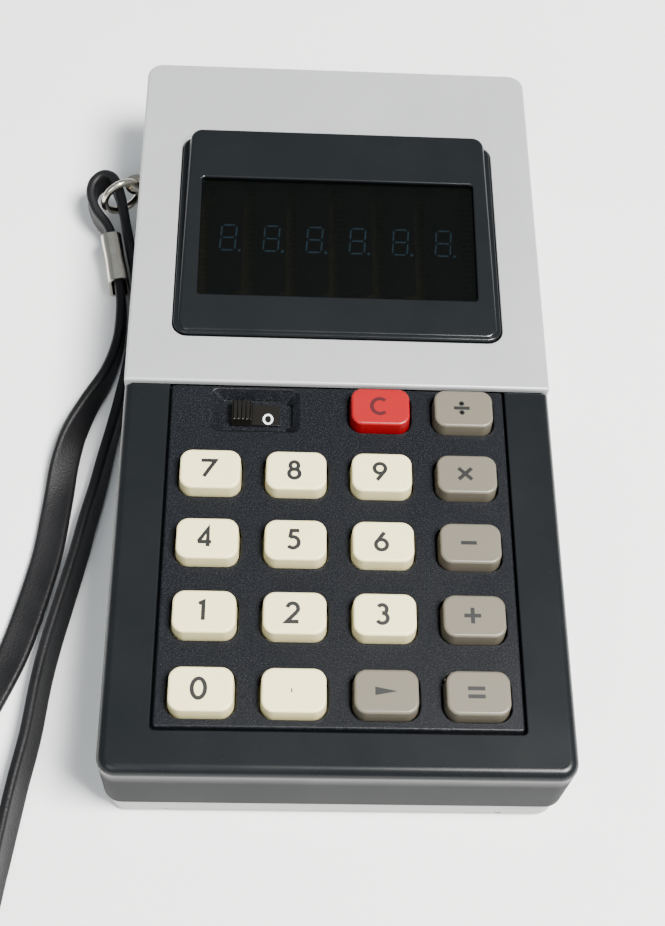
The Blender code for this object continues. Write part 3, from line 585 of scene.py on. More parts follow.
# Battery door: the same grey plastic, with a patch of thumb grooves. Its side lips run in ways
# over the lower shell's floor, and it slides out at the near end.
GROOVES = 9
door_near = LOWER_INSET - HALF_LENGTH
door_half = (DOOR_HALF, (DOOR_FAR - door_near) / 2)
door_mid = (0, (DOOR_FAR + door_near) / 2)
door = block(
    "battery_cover", door_mid, door_half, 0.3 * MM,
    [(0.15 * MM, 0), (0, 0.15 * MM), (0, FLOOR)], grey_shell, steps=3,
)
lips = block(
    "door_lips", (0, door_mid[1] + MM), (DOOR_HALF + DOOR_LIP, door_half[1] - MM), 0.3 * MM,
    [(0, 1.2 * MM), (0, FLOOR)], grey_shell, steps=3,
)
join(door, lips)
for number in range(GROOVES):
    groove_y = DOOR_FAR - (8 + 1.4 * number) * MM
    groove = block(
        "groove", (0, groove_y), (9 * MM, 0.4 * MM), 0.38 * MM,
        [(-0.15 * MM, -MM), (-0.15 * MM, 0), (0.15 * MM, 0.45 * MM)], grey_shell, steps=4,
    )
    cut(door, groove)
near_edge = []
for step in range(9):
    angle = math.radians(90 * step / 8)
    inwards = FOOT_RADIUS * (1 - math.sin(angle))
    near_edge.append((door_near + inwards, FOOT_RADIUS * (1 - math.cos(angle))))
edge_shape = [(door_near - PAST, -PAST)] + near_edge + [(door_near - PAST, FOOT_RADIUS)]
edge_rings = [[(x, y, z) for y, z in edge_shape] for x in (-35 * MM, 35 * MM)]
cut(door, loft("door_edge", edge_rings, grey_shell))
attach(door, "battery_door")
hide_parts("battery_door")

# Case screws: plated steel with a crossed recess, driven up from below into the upper posts.
screw_plate = Finish("screw plate", Base_Color=(0.6, 0.59, 0.56), Metallic=1.0)
turning = screw_plate.place.speckle(0.3, stretch=(1, 1, 4))
screw_plate.set("Roughness", 0.24 + 0.2 * turning)
screw_plate.bump(turning, 0.01, 0.4)
SHANK_TOP = 16 * MM
HEAD_RADIUS = 2.2 * MM
SHANK_RADIUS = 1.0 * MM
THREAD_START = 3 * MM
THREAD_TURNS = 11
THREAD_PITCH = 1.1 * MM
THREAD_DEPTH = 0.25 * MM
for number, (x, y) in enumerate(SCREW_PLACES, 1):
    head_levels = [(0.5 * MM, 0.5 * MM), (0.15 * MM, 0.62 * MM), (0, 0.85 * MM), (0, 1.9 * MM)]
    shank_levels = [(0, 1.6 * MM)]
    for turn in range(THREAD_TURNS):
        z = THREAD_START + turn * THREAD_PITCH
        shank_levels += [(THREAD_DEPTH, z), (0, z + 0.45 * MM), (0, z + 0.55 * MM), (THREAD_DEPTH, z + MM)]
    shank_levels.append((0.7 * MM, SHANK_TOP))
    screw = turned(f"screw_{number}", (x, y), HEAD_RADIUS, head_levels, screw_plate)
    shank = turned("shank", (x, y), SHANK_RADIUS, shank_levels, screw_plate)
    slots = []
    for half in ((1.3 * MM, 0.28 * MM), (0.28 * MM, 1.3 * MM)):
        depth = [(0, 0), (0, 1.1 * MM), (0.1 * MM, 1.3 * MM)]
        slots.append(block("cross", (x, y), half, 0.05 * MM, depth, screw_plate, steps=1))
    join(screw, shank)
    cut(screw, *slots)
    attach(screw, "case")
    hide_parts(f"case_screw_{number}")

# Upper shell: black moulded plastic, smooth and half glossy on the rim round the keys and matt down
# its sides. Its far half is slimmer, and the silver cover slips over it.
RIM_TOP = 24.5 * MM
LID_BOTTOM = 22.7 * MM
FAR_LID_TOP = 24 * MM
SEAM_TOP = 7.7 * MM
COVER_NEAR = -2.3 * MM
COVER_WALL = 1.2 * MM
PANEL_HALF_WIDTH = 31 * MM
PANEL_NEAR = -69.1 * MM
PANEL_FAR = -2.7 * MM
PANEL_GAP = 0.45 * MM
POST_RADIUS = 2.3 * MM
PILOT_RADIUS = 1.15 * MM
black_shell = textured("black shell", 0.16, 0.006)
dust = black_shell.place.speckle(0.7, 3.0, 0.65).ramp((0.66, 0.0), (0.78, 1.0))
shell_smudge = black_shell.place.speckle(18, 3.0, 0.6)
dusted = (dust * 0.05 + shell_smudge * 0.01).mix((0.0045, 0.0055, 0.0065), (0.25, 0.25, 0.24))
black_shell.set("Base Color", dusted)
matt_sides = 1 - black_shell.heights(19, 23)
black_shell.set("Roughness", 0.22 + 0.12 * shell_smudge + 0.45 * matt_sides)
near_end = COVER_NEAR - GAP
far_inset = COVER_WALL + GAP
upper = block(
    "upper_shell", (0, -10 * MM), (HALF_WIDTH, HALF_LENGTH - 10 * MM), (CORNER, CORNER),
    [(0.25 * MM, SEAM_TOP), (0, SEAM_TOP + 0.25 * MM)] + edge_round(RIM_TOP, 1.8 * MM, steps=7),
    black_shell,
)
far_cutter = block(
    "far_cutter", (0, near_end + 50 * MM), (60 * MM, 50 * MM), 0, [(0, 0), (0, 40 * MM)],
    black_shell, steps=1,
)
cut(upper, far_cutter)
far_half_y = (HALF_LENGTH - far_inset - near_end + 6 * MM) / 2
far_half = block(
    "far_half", (0, near_end - 6 * MM + far_half_y), (HALF_WIDTH - far_inset, far_half_y),
    (0.1 * MM, 2 * MM), [(0, SEAM_TOP)] + edge_round(FAR_LID_TOP, 0.4 * MM, steps=2), black_shell,
)
join(upper, far_half)
near_room_y = (near_end + HALF_LENGTH - WALL) / 2
near_room = block(
    "near_room", (0, near_end - near_room_y), (HALF_WIDTH - WALL, near_room_y), (1.6 * MM, 0.1 * MM),
    [(0, 5 * MM), (0, LID_BOTTOM)], black_shell,
)
far_room_y = far_half_y - WALL / 2 - 2 * MM
far_room = block(
    "far_room", (0, HALF_LENGTH - far_inset - WALL - far_room_y),
    (HALF_WIDTH - far_inset - WALL, far_room_y), (0.1 * MM, 1 * MM), [(0, 5 * MM), (0, LID_BOTTOM)],
    black_shell,
)
cut(upper, near_room, far_room)
for place in SCREW_PLACES:
    post_levels = [(0, SEAM_TOP), (0, LID_BOTTOM + 0.5 * MM)]
    join(upper, turned("post", place, POST_RADIUS, post_levels, black_shell))
    cut(upper, turned("pilot", place, PILOT_RADIUS, [(0, 5 * MM), (0, 18 * MM)], black_shell))
opening_near = PANEL_NEAR - PANEL_GAP
opening_far = 0.6 * MM
opening_half = (PANEL_HALF_WIDTH + PANEL_GAP, (opening_far - opening_near) / 2)
keypad_opening = block(
    "keypad_opening", (0, (opening_far + opening_near) / 2), opening_half, 0.8 * MM,
    [(0, 20 * MM)] + edge_round(RIM_TOP, 0.25 * MM, True, 3) + [(-0.25 * MM, 26 * MM)], black_shell,
)
display_opening = block(
    "display_opening", (0, 31 * MM), (29.5 * MM, 19 * MM), 1 * MM,
    [(0, 20 * MM), (0, 26 * MM)], black_shell,
)
cut(upper, keypad_opening, display_opening)


def lug_slot(name, low_x, high_x, finish):
    low_z = LUG_HOLE.z - 0.8 * MM
    half = ((high_x - low_x) / 2, 2.7 * MM)
    middle = ((high_x + low_x) / 2, LUG_HOLE.y)
    return block(name, middle, half, 0.1 * MM, [(0, low_z), (0, low_z + 1.6 * MM)], finish, steps=2)


cut(upper, lug_slot("shell_slot", far_inset - HALF_WIDTH - 0.5 * MM, 5 * MM - HALF_WIDTH, black_shell))
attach(upper, "case")
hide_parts("upper_case")

# Silver cover: a painted cap over the display half. The paint is fine aluminium flake under a
# satin lacquer, a little marked by handling.
COVER_TOP = 25.5 * MM
BEZEL_HALF_WIDTH = 31.5 * MM
BEZEL_NEAR = 8.1 * MM
BEZEL_FAR = 56.6 * MM
silver_paint = Finish("silver paint", Metallic=0.3, Coat_Weight=0.15, Coat_Roughness=0.3)
flake = silver_paint.place.speckle(0.12, 1.0)
handling = silver_paint.place.speckle(22, 3.0, 0.55)
paint_tone = (0.65 * flake + 0.35 * handling).mix((0.33, 0.34, 0.345), (0.5, 0.51, 0.51))
silver_paint.set("Base Color", paint_tone)
silver_paint.set("Roughness", 0.3 + 0.14 * handling + 0.08 * flake)
silver_paint.bump(flake, 0.006, 0.4)
cover_middle = (0, (COVER_NEAR + HALF_LENGTH) / 2)
cover_half = (HALF_WIDTH, (HALF_LENGTH - COVER_NEAR) / 2)
cover = block(
    "silver_cover", cover_middle, cover_half, (0.25 * MM, CORNER),
    [(0.2 * MM, SEAM_TOP), (0, SEAM_TOP + 0.2 * MM)] + edge_round(COVER_TOP, 0.55 * MM), silver_paint,
)
cover_room = block(
    "cover_room", (0, cover_middle[1] - 2 * MM),
    (cover_half[0] - COVER_WALL, cover_half[1] - COVER_WALL + 2 * MM), (0.2 * MM, 2.2 * MM),
    [(0, 5 * MM), (0, FAR_LID_TOP + GAP)], silver_paint,
)
bezel_middle = (0, (BEZEL_NEAR + BEZEL_FAR) / 2)
bezel_half = (BEZEL_HALF_WIDTH, (BEZEL_FAR - BEZEL_NEAR) / 2)
bezel_hole = block(
    "bezel_hole", bezel_middle, (bezel_half[0] + GAP, bezel_half[1] + GAP), 3 * MM,
    [(0, 22 * MM)] + edge_round(COVER_TOP, 0.2 * MM, True, 3) + [(-0.2 * MM, 27 * MM)], silver_paint,
)
cut(cover, cover_room, bezel_hole)
cut(cover, lug_slot("cover_slot", -HALF_WIDTH - MM, -HALF_WIDTH + COVER_WALL + 0.15 * MM, silver_paint))
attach(cover, "case")
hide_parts("display_fascia")

# Display hood: glossy black plastic, a thin lip on the cover and a wedge that rises to the far
# end, with the window's recess sunk in its sloping top.
LIP_TOP = 26 * MM
HOOD_HALF_WIDTH = 30.7 * MM
HOOD_NEAR = 8.6 * MM
HOOD_FAR = 55.8 * MM
HOOD_NEAR_TOP = 26.3 * MM
HOOD_FAR_TOP = 29.5 * MM
HOOD_SLOPE = math.atan2(HOOD_FAR_TOP - HOOD_NEAR_TOP, HOOD_FAR - HOOD_NEAR)
WINDOW_HALF_WIDTH = 27.2 * MM
WINDOW_NEAR = 16.7 * MM
WINDOW_FAR = 44 * MM
LENS_DROP = 0.9 * MM
LENS_THICK = 1.5 * MM
TUBE_PITCH = 8.73 * MM
TUBE_MIDDLE_Y = 34 * MM
TUBE_LENGTH = 30 * MM
gloss_black = Finish("gloss black", IOR=1.5, Specular_IOR_Level=0.35)
hairlines = gloss_black.place.speckle(0.5, 3.0, 0.6, stretch=(0.3, 2, 1))
hood_haze = gloss_black.place.speckle(12, 3.0, 0.6)
hood_dust = gloss_black.place.speckle(0.5, 3.0, 0.7).ramp((0.7, 0.0), (0.8, 1.0))
gloss_black.set("Roughness", 0.14 + 0.12 * hood_haze + 0.25 * hood_dust)
hood_tone = (0.05 * hood_dust + 0.01 * hood_haze).mix((0.004, 0.005, 0.006), (0.25, 0.25, 0.25))
gloss_black.set("Base Color", hood_tone)
gloss_black.bump(hairlines, 0.004, 0.35)


def hood_top(y):
    return HOOD_NEAR_TOP + (y - HOOD_NEAR) * math.tan(HOOD_SLOPE)


def lean_to_hood(piece, middle_y):
    """Turn a piece made about the origin so that it lies in the hood's sloping top."""
    place = Matrix.Translation((0, middle_y, hood_top(middle_y))) @ Matrix.Rotation(HOOD_SLOPE, 4, "X")
    piece.data.transform(place)
    return piece


bezel = block(
    "display_hood", bezel_middle, bezel_half, 2.8 * MM,
    [(0, FAR_LID_TOP + GAP)] + edge_round(LIP_TOP, 0.4 * MM, steps=4), gloss_black,
)
wedge_middle = (0, (HOOD_NEAR + HOOD_FAR) / 2)
wedge_half = (HOOD_HALF_WIDTH, (HOOD_FAR - HOOD_NEAR) / 2)
wedge = block(
    "wedge", wedge_middle, wedge_half, 2.2 * MM,
    [(0, LIP_TOP - 0.6 * MM)] + edge_round(0, 0.55 * MM, steps=6), gloss_black,
)
for vertex in wedge.data.vertices:
    if vertex.co.z < MM:
        vertex.co.z += hood_top(vertex.co.y)
        vertex.co.x *= 1 - 0.3 * max(vertex.co.z - LIP_TOP, 0) / HOOD_HALF_WIDTH
join(bezel, wedge)
window_half = (WINDOW_HALF_WIDTH, (WINDOW_FAR - WINDOW_NEAR) / 2 / math.cos(HOOD_SLOPE))
window_y = (WINDOW_NEAR + WINDOW_FAR) / 2
pocket = block(
    "pocket", (0, 0), (window_half[0] + 1.7 * MM, window_half[1] + 1.5 * MM), 0.5 * MM,
    [(0, -8 * MM), (0, -0.6 * MM)], gloss_black, steps=3,
)
window_levels = [(0, -3 * MM)] + edge_round(0, 0.3 * MM, True, 4) + [(-0.3 * MM, 2 * MM)]
window = block("window", (0, 0), window_half, 0.7 * MM, window_levels, gloss_black)
tube_room = block(
    "tube_room", (0, 0), (TUBE_PITCH * 3 + MM, TUBE_LENGTH / 2 + MM), 0.5 * MM,
    [(0, -8 * MM), (0, -LENS_DROP - LENS_THICK)], gloss_black, steps=3,
)
cut(bezel, lean_to_hood(pocket, window_y), lean_to_hood(tube_room, TUBE_MIDDLE_Y))
cut(bezel, lean_to_hood(window, window_y))
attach(bezel, "case")
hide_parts("display_bezel")

# Window: a smoked acrylic plate, polished, with a little dust. It is dark enough that the unlit
# tubes behind it only just show.
smoked = Finish("smoked window", IOR=1.49, Alpha=0.72, Specular_IOR_Level=0.2)
window_dust = smoked.place.speckle(0.45, 3.0, 0.7).ramp((0.68, 0.0), (0.8, 1.0))
window_wipe = smoked.place.speckle(16, stretch=(0.6, 1, 1))
smoked.set("Roughness", 0.04 + 0.05 * window_wipe + 0.2 * window_dust)
smoked.set("Base Color", (0.05 * window_dust).mix((0.001, 0.0014, 0.001), (0.3, 0.3, 0.3)))
lens = block(
    "smoked_plate", (0, 0), (window_half[0] + 1.3 * MM, window_half[1] + 1.1 * MM), 0.3 * MM,
    [(0, -LENS_DROP - LENS_THICK), (0, -LENS_DROP - 0.1 * MM), (0.1 * MM, -LENS_DROP)], smoked, steps=3,
)
lean_to_hood(lens, window_y)
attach(lens, "case")
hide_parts("display_window")

# Display tubes: six glass envelopes with rounded ends, side by side under the window. In each, a
# black plate carries seven pale phosphor bars and a point, given a faint painted glow though the tubes are
# unlit.
TUBES = 6
TUBE_RADIUS = 3.7 * MM
TIP_RADIUS = 0.9 * MM
TIP_LENGTH = 2.4 * MM
TUBE_STEPS = 32
PLATE_TOP = -0.9 * MM
tube_glass = Finish("tube glass", Base_Color=(0.5, 0.55, 0.56), IOR=1.5, Alpha=0.06)
glass_streaks = tube_glass.place.speckle(3)
tube_glass.set("Roughness", 0.03 + 0.05 * glass_streaks)
tube_plate = Finish("tube plate", Base_Color=(0.01, 0.012, 0.014))
tube_plate.set("Roughness", 0.4 + 0.2 * tube_plate.place.speckle(1.5))
# Painted glow: the bars give off a little light though the tubes are unlit, so the digits show through the
# dark window.
phosphor = Finish("phosphor", Roughness=0.6, Emission_Strength=0.75)
phosphor_spots = phosphor.place.speckle(0.4, 2.0, 0.6)
phosphor.set("Base Color", phosphor_spots.mix((0.25, 0.42, 0.55), (0.4, 0.62, 0.75)))
# The colour of the painted glow.
phosphor.set("Emission Color", phosphor_spots.mix((0.1, 0.3, 0.45), (0.16, 0.4, 0.6)))
BAR_LENGTH = 3.0 * MM
BAR_HALF = 0.16 * MM
BAR_THICK = 0.08 * MM
DIGIT_SLANT = 0.06
POINT_RADIUS = 0.3 * MM
# Each bar's middle, in half bar lengths, and how far it is turned, in degrees.
BARS = ((0, 2, 0), (0, 0, 0), (0, -2, 0), (-1, 1, 90), (1, 1, 90), (-1, -1, 90), (1, -1, 90))


def thicken(shape, thickness):
    """Raise a solid from the flat faces of a shape."""
    raised = bmesh.ops.extrude_face_region(shape, geom=shape.faces[:])["geom"]
    raised = [item for item in raised if isinstance(item, bmesh.types.BMVert)]
    bmesh.ops.translate(shape, vec=(0, 0, thickness), verts=raised)
    bmesh.ops.recalc_face_normals(shape, faces=shape.faces)


def digit(name, x):
    """Seven bars and a point in the plane of one tube's plate."""
    shape = bmesh.new()
    for side, rise, turned in BARS:
        long_way = BAR_LENGTH / 2 - 0.3 * MM
        tip = [(-long_way, 0), (-long_way + BAR_HALF, -BAR_HALF), (long_way - BAR_HALF, -BAR_HALF)]
        tip += [(long_way, 0), (long_way - BAR_HALF, BAR_HALF), (-long_way + BAR_HALF, BAR_HALF)]
        turn = Matrix.Rotation(math.radians(turned), 2)
        corners = []
        for point in tip:
            flat = turn @ Vector(point) + Vector((side, rise)) * BAR_LENGTH / 2
            corners.append(shape.verts.new((x + flat.x + DIGIT_SLANT * flat.y, flat.y, 0)))
        shape.faces.new(corners)
    point_place = Matrix.Translation((x + BAR_LENGTH / 2 + 0.75 * MM, -BAR_LENGTH, 0))
    bmesh.ops.create_circle(shape, cap_ends=True, segments=12, radius=POINT_RADIUS, matrix=point_place)
    thicken(shape, BAR_THICK)
    return piece_from(name, shape, phosphor)


tube_height = -LENS_DROP - LENS_THICK - 0.4 * MM - TUBE_RADIUS
slope = Matrix.Rotation(HOOD_SLOPE, 4, "X")
tube_place = Matrix.Translation((0, TUBE_MIDDLE_Y, hood_top(TUBE_MIDDLE_Y) + tube_height)) @ slope
profile = []
for angle in map(math.radians, (0, 20, 40, 60, 75, 90)):
    radius = TIP_RADIUS + (TUBE_RADIUS - TIP_RADIUS) * math.sin(angle)
    profile.append((radius, -TUBE_LENGTH / 2 + TIP_LENGTH * (1 - math.cos(angle))))
profile += [(radius, -along) for radius, along in reversed(profile)]
turns = [math.tau * k / TUBE_STEPS for k in range(TUBE_STEPS)]
for number in range(TUBES):
    x = (number - (TUBES - 1) / 2) * TUBE_PITCH
    envelope_rings = []
    for radius, along in profile:
        envelope_rings.append([(x + radius * math.cos(a), along, radius * math.sin(a)) for a in turns])
    envelope = loft(f"tube_envelope_{number + 1}", envelope_rings, tube_glass, sharp=60)
    plate = block(
        f"tube_plate_{number + 1}", (x, 0), (2.9 * MM, 11.5 * MM), 0.6 * MM,
        [(0, PLATE_TOP - 0.3 * MM), (0, PLATE_TOP)], tube_plate, steps=4,
    )
    shown = digit(f"tube_digit_{number + 1}", x)
    shown.data.transform(Matrix.Translation((0, 1 * MM, PLATE_TOP)))
    for piece in (envelope, plate, shown):
        piece.data.transform(tube_place)
        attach(piece, "case")
    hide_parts(f"vfd_tube_{number + 1}")

# Keypad plate: black plastic with a coarse sparkling grain, dropped into the shell's opening. It
# has a hole for each key, and a sloped well for the power switch.
PANEL_TOP = 24.7 * MM
PANEL_BOTTOM = 21.8 * MM
CUTTER_TOP = 26 * MM
KEY_PITCH = (15.45 * MM, 13.845 * MM)
FIRST_ROW_Y = -7.86 * MM
KEY_BASE_HALF = (5.675 * MM, 4.125 * MM)
KEY_CORNER = 2.4 * MM
HOLE_GAP = 0.25 * MM
SWITCH_PLACE = (-15.4 * MM, -7.9 * MM)
WELL_FLOOR = 22.5 * MM
KNOB_X = -17.9 * MM
SWITCH_TRAVEL = 5.1 * MM
SLIDER_END = -10.9 * MM
SLIDER_PLATE_TOP = 23.2 * MM
KEY_ROWS = (
    (None, None, "key_clear", "key_divide"),
    ("key_7", "key_8", "key_9", "key_multiply"),
    ("key_4", "key_5", "key_6", "key_minus"),
    ("key_1", "key_2", "key_3", "key_plus"),
    ("key_0", "key_point", "key_recall", "key_equals"),
)
KEY_PLACES = {
    name: ((column - 1.5) * KEY_PITCH[0], FIRST_ROW_Y - row * KEY_PITCH[1])
    for row, names in enumerate(KEY_ROWS)
    for column, name in enumerate(names)
    if name
}
grained = Finish("grained plate", IOR=1.5, Specular_IOR_Level=0.2)
grain = grained.place.grains(0.2)
fine_grain = grained.place.speckle(0.16, 2.0, 0.6)
plate_smudge = grained.place.speckle(16, 3.0, 0.6)
plate_dust = grained.place.speckle(0.35, 3.0, 0.7).ramp((0.7, 0.0), (0.82, 1.0))
grained.bump(grain + 0.8 * fine_grain, 0.02, 0.9)
sparkle = grained.place.speckle(0.24, 2.0, 0.7).ramp((0.5, 0.0), (0.72, 1.0))
plate_tone = 0.06 * plate_dust + 0.1 * sparkle
grained.set("Base Color", plate_tone.mix((0.003, 0.0035, 0.005), (0.22, 0.23, 0.25)))
grained.set("Roughness", 0.26 + 0.14 * plate_smudge)
panel_near_far = (PANEL_NEAR + PANEL_FAR) / 2
panel_half = (PANEL_HALF_WIDTH, (PANEL_FAR - PANEL_NEAR) / 2)
panel = block(
    "keypad_plate", (0, panel_near_far), panel_half, 0.6 * MM,
    [(0, PANEL_BOTTOM)] + edge_round(PANEL_TOP, 0.4 * MM, steps=5), grained, steps=5,
)
flange_far = 2 * MM
flange_near = PANEL_NEAR - MM
flange = block(
    "flange", (0, (flange_far + flange_near) / 2),
    (PANEL_HALF_WIDTH + 1.6 * MM, (flange_far - flange_near) / 2), 1 * MM,
    [(0, PANEL_BOTTOM), (0, PANEL_BOTTOM + 0.6 * MM)], grained, steps=4,
)
join(panel, flange)
hole_half = (KEY_BASE_HALF[0] + HOLE_GAP, KEY_BASE_HALF[1] + HOLE_GAP)
hole_levels = [(0, 20 * MM)] + edge_round(PANEL_TOP, 0.2 * MM, True, 3) + [(-0.2 * MM, CUTTER_TOP)]
for place in KEY_PLACES.values():
    cut(panel, block("hole", place, hole_half, 2.6 * MM, hole_levels, grained, steps=6))
well_slope = [(1.25 * MM, WELL_FLOOR), (1.1 * MM, WELL_FLOOR + 0.12 * MM)]
well_slope += [(0.05 * MM, PANEL_TOP - 0.15 * MM), (-0.15 * MM, PANEL_TOP + 0.02 * MM)]
well_slope.append((-0.15 * MM, CUTTER_TOP))
well_half = (8.3 * MM, 4.6 * MM)
well = block("well", SWITCH_PLACE, well_half, 1.4 * MM, well_slope, grained, steps=5)
for vertex in well.data.vertices:
    if vertex.co.z < PANEL_TOP - 0.2 * MM:
        vertex.co.x -= math.copysign(1.2 * MM, vertex.co.x - SWITCH_PLACE[0])
        vertex.co.y -= math.copysign(0.2 * MM, vertex.co.y - SWITCH_PLACE[1])
slot_middle = (KNOB_X + SWITCH_TRAVEL / 2, SWITCH_PLACE[1])
stem_slot = block(
    "stem_slot", slot_middle, (SWITCH_TRAVEL / 2 + 1.3 * MM, 1.1 * MM), 0.2 * MM,
    [(0, 20 * MM), (0, WELL_FLOOR + 0.1 * MM)], grained, steps=3,
)
way_end = SLIDER_END + SWITCH_TRAVEL + GAP
plate_way = block(
    "plate_way", ((SWITCH_PLACE[0] + way_end) / 2, SWITCH_PLACE[1] - 0.15 * MM),
    ((way_end - SWITCH_PLACE[0]) / 2, 2.45 * MM), 0.1 * MM,
    [(0, WELL_FLOOR), (0, SLIDER_PLATE_TOP + 0.25 * MM)], grained, steps=2,
)
cut(panel, well)
cut(panel, stem_slot, plate_way)
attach(panel, "case")
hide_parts("keypad_panel")

# Keys: moulded caps with soft edges and slightly tapered sides; cream for the digits, taupe for
# the operators, red for clear. A skirt under the plate keeps each one in.
KEY_TOP = 27.2 * MM
KEY_SKIRT_BOTTOM = 20.7 * MM
KEY_TAPER = 0.25 * MM


def key_plastic(name, colour, grime_and_shade):
    """Satin key plastic: faint grime in its texture, painted shade that darkens its sides towards the
    plate, and a gloss that fingers have evened out.
    """
    finish = Finish(name, IOR=1.5, Subsurface_Weight=0.06, Subsurface_Scale=0.001)
    patches = finish.place.speckle(5, 3.0, 0.6)
    pores = finish.place.speckle(0.16, 2.0, 0.6)
    # Painted shade: each key's sides darken towards the plate. The random patches add faint grime.
    painted_shade_low_side = 1 - finish.heights(PANEL_TOP / MM - 0.3, KEY_TOP / MM - 0.3)
    finish.set("Base Color", (0.3 * patches + 0.45 * painted_shade_low_side).mix(colour, grime_and_shade))
    finish.set("Roughness", 0.3 + 0.14 * patches)
    finish.bump(pores, 0.01, 0.5)
    return finish


# The second colour of each key plastic serves both its grime and its painted shade.
cream_plastic = key_plastic("cream plastic", (0.88, 0.8, 0.44), (0.6, 0.52, 0.26))
taupe_plastic = key_plastic("taupe plastic", (0.13, 0.117, 0.088), (0.085, 0.073, 0.052))
red_plastic = key_plastic("red plastic", (0.27, 0.0, 0.003), (0.2, 0.0, 0.002))
TAUPE_KEYS = ("key_divide", "key_multiply", "key_minus", "key_plus", "key_equals", "key_recall")
skirt_top = PANEL_BOTTOM - GAP
skirt = [(-0.75 * MM, KEY_SKIRT_BOTTOM), (-0.75 * MM, skirt_top)]
crown = [(KEY_TAPER + inset, z) for inset, z in edge_round(KEY_TOP, 0.5 * MM, steps=7)]
levels = skirt + [(0, skirt_top), (0, PANEL_BOTTOM)] + crown
for name, place in KEY_PLACES.items():
    finish, slot = cream_plastic, "cream_key"
    if name in TAUPE_KEYS:
        finish, slot = taupe_plastic, "taupe_key"
    if name == "key_clear":
        finish, slot = red_plastic, "red_key"
    cap = block(f"cap_{name[4:]}", place, KEY_BASE_HALF, KEY_CORNER, levels, finish, steps=10)
    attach(cap, name)
    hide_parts(name)

# Legends: thin dark strokes set in the key tops and just proud of them. A stroke is a run of points,
# or an arc given as (middle x, middle y, radius x, radius y, first angle, last angle), and a letter
# is 1 high. Where strokes cross, each is a little higher than the one before.
LEGEND_HEIGHT = 3.7 * MM
LEGEND_SHIFT = 0.35 * MM
LEGEND_DEPTH = 0.05 * MM
LEGEND_RISE = 0.012 * MM
LEGEND_LAYER = 0.006 * MM
SMALL_LETTER = 0.86
ARROW = ((-1.9, 0.75), (-1.9, -0.75), (1.9, 0))
LEGEND_STROKE = 0.35 * MM
LEGENDS = {
    "key_0": [(0, 0, 0.3, 0.46, 0, 360)],
    "key_1": [[(-0.15, 0.36), (0.06, 0.46), (0.06, -0.46)]],
    "key_2": [(0, 0.2, 0.25, 0.26, 170, -38), [(0.2, 0.04), (-0.27, -0.46), (0.28, -0.46)]],
    "key_3": [(-0.03, 0.24, 0.21, 0.22, 150, -90), (-0.04, -0.2, 0.26, 0.26, 92, -150)],
    "key_4": [[(0.13, -0.46), (0.13, 0.46), (-0.32, -0.22)], [(-0.34, -0.22), (0.3, -0.22)]],
    "key_5": [[(0.27, 0.46), (-0.1, 0.46), (-0.17, 0.08)], (-0.03, -0.16, 0.28, 0.29, 122, -140)],
    "key_6": [(0, -0.19, 0.27, 0.27, 0, 360), [(0.15, 0.46), (-0.22, -0.04)]],
    "key_7": [[(-0.34, 0.42), (0.34, 0.42), (-0.2, -0.46)]],
    "key_8": [(0, 0.24, 0.2, 0.21, 0, 360), (0, -0.2, 0.26, 0.25, 0, 360)],
    "key_9": [(0, 0.19, 0.27, 0.27, 0, 360), [(-0.15, -0.46), (0.22, 0.04)]],
    "key_clear": [(0.06, 0, 0.4, 0.43, 48, 312)],
    "key_divide": [[(-0.46, 0), (0.46, 0)], (0, 0.3, 0.05, 0.05, 0, 360), (0, -0.3, 0.05, 0.05, 0, 360)],
    "key_multiply": [[(-0.38, 0.36), (0.38, -0.36)], [(-0.38, -0.36), (0.38, 0.36)]],
    "key_minus": [[(-0.44, 0), (0.44, 0)]],
    "key_plus": [[(-0.46, 0), (0.46, 0)], [(0, 0.46), (0, -0.46)]],
    "key_equals": [[(-0.46, 0.22), (0.46, 0.22)], [(-0.46, -0.22), (0.46, -0.22)]],
    "key_point": [[(-0.03, -0.03), (0.03, -0.03)]],
    "key_recall": [],
}


def ink(name, darker, paler):
    """Matt ink with a little unevenness in its colour."""
    finish = Finish(name, Roughness=0.45)
    finish.set("Base Color", finish.place.speckle(0.3, 2.0, 0.6).mix(darker, paler))
    return finish


legend_ink = ink("legend ink", (0.003, 0.003, 0.003), (0.01, 0.01, 0.009))
red_ink = ink("legend on red", (0.03, 0.0, 0.002), (0.06, 0.0, 0.003))


def stroke_points(stroke):
    if isinstance(stroke, list):
        return [Vector(point) for point in stroke]
    x, y, radius_x, radius_y, first, last = stroke
    steps = max(int(abs(last - first) / 9), 8)
    angles = [math.radians(first + (last - first) * k / steps) for k in range(steps + 1)]
    return [Vector((x + radius_x * math.cos(a), y + radius_y * math.sin(a))) for a in angles]


def ribbon(shape, points, half_width, place, height):
    """A flat bar that follows the points with mitred corners, from under to just over a height."""
    closed = (points[0] - points[-1]).length < 1e-5
    if closed:
        points = points[:-1]
    sides = []
    count = len(points)
    for index, point in enumerate(points):
        before = points[index - 1] if index or closed else None
        after = points[(index + 1) % count] if index < count - 1 or closed else None
        ways = []
        if before is not None:
            ways.append((point - before).normalized())
        if after is not None:
            ways.append((after - point).normalized())
        normals = [Vector((-way.y, way.x)) for way in ways]
        mitre = sum(normals, Vector((0, 0))).normalized()
        mitre *= half_width / max(mitre.dot(normals[0]), 0.35)
        sides.append((point + mitre, point - mitre))
    lows, highs = [], []
    for left, right in sides:
        ends = [(place[0] + p.x, place[1] + p.y) for p in (left, right)]
        lows.append([shape.verts.new((*end, height - LEGEND_DEPTH)) for end in ends])
        highs.append([shape.verts.new((*end, height + LEGEND_RISE)) for end in ends])
    for index in range(count if closed else count - 1):
        after = (index + 1) % count
        quads = (
            (highs[index][0], highs[after][0], highs[after][1], highs[index][1]),
            (lows[index][0], lows[after][0], lows[after][1], lows[index][1]),
            (lows[index][0], lows[after][0], highs[after][0], highs[index][0]),
            (lows[index][1], lows[after][1], highs[after][1], highs[index][1]),
        )
        for quad in quads:
            shape.faces.new(quad)
    if not closed:
        for end in (0, -1):
            shape.faces.new((lows[end][0], lows[end][1], highs[end][1], highs[end][0]))


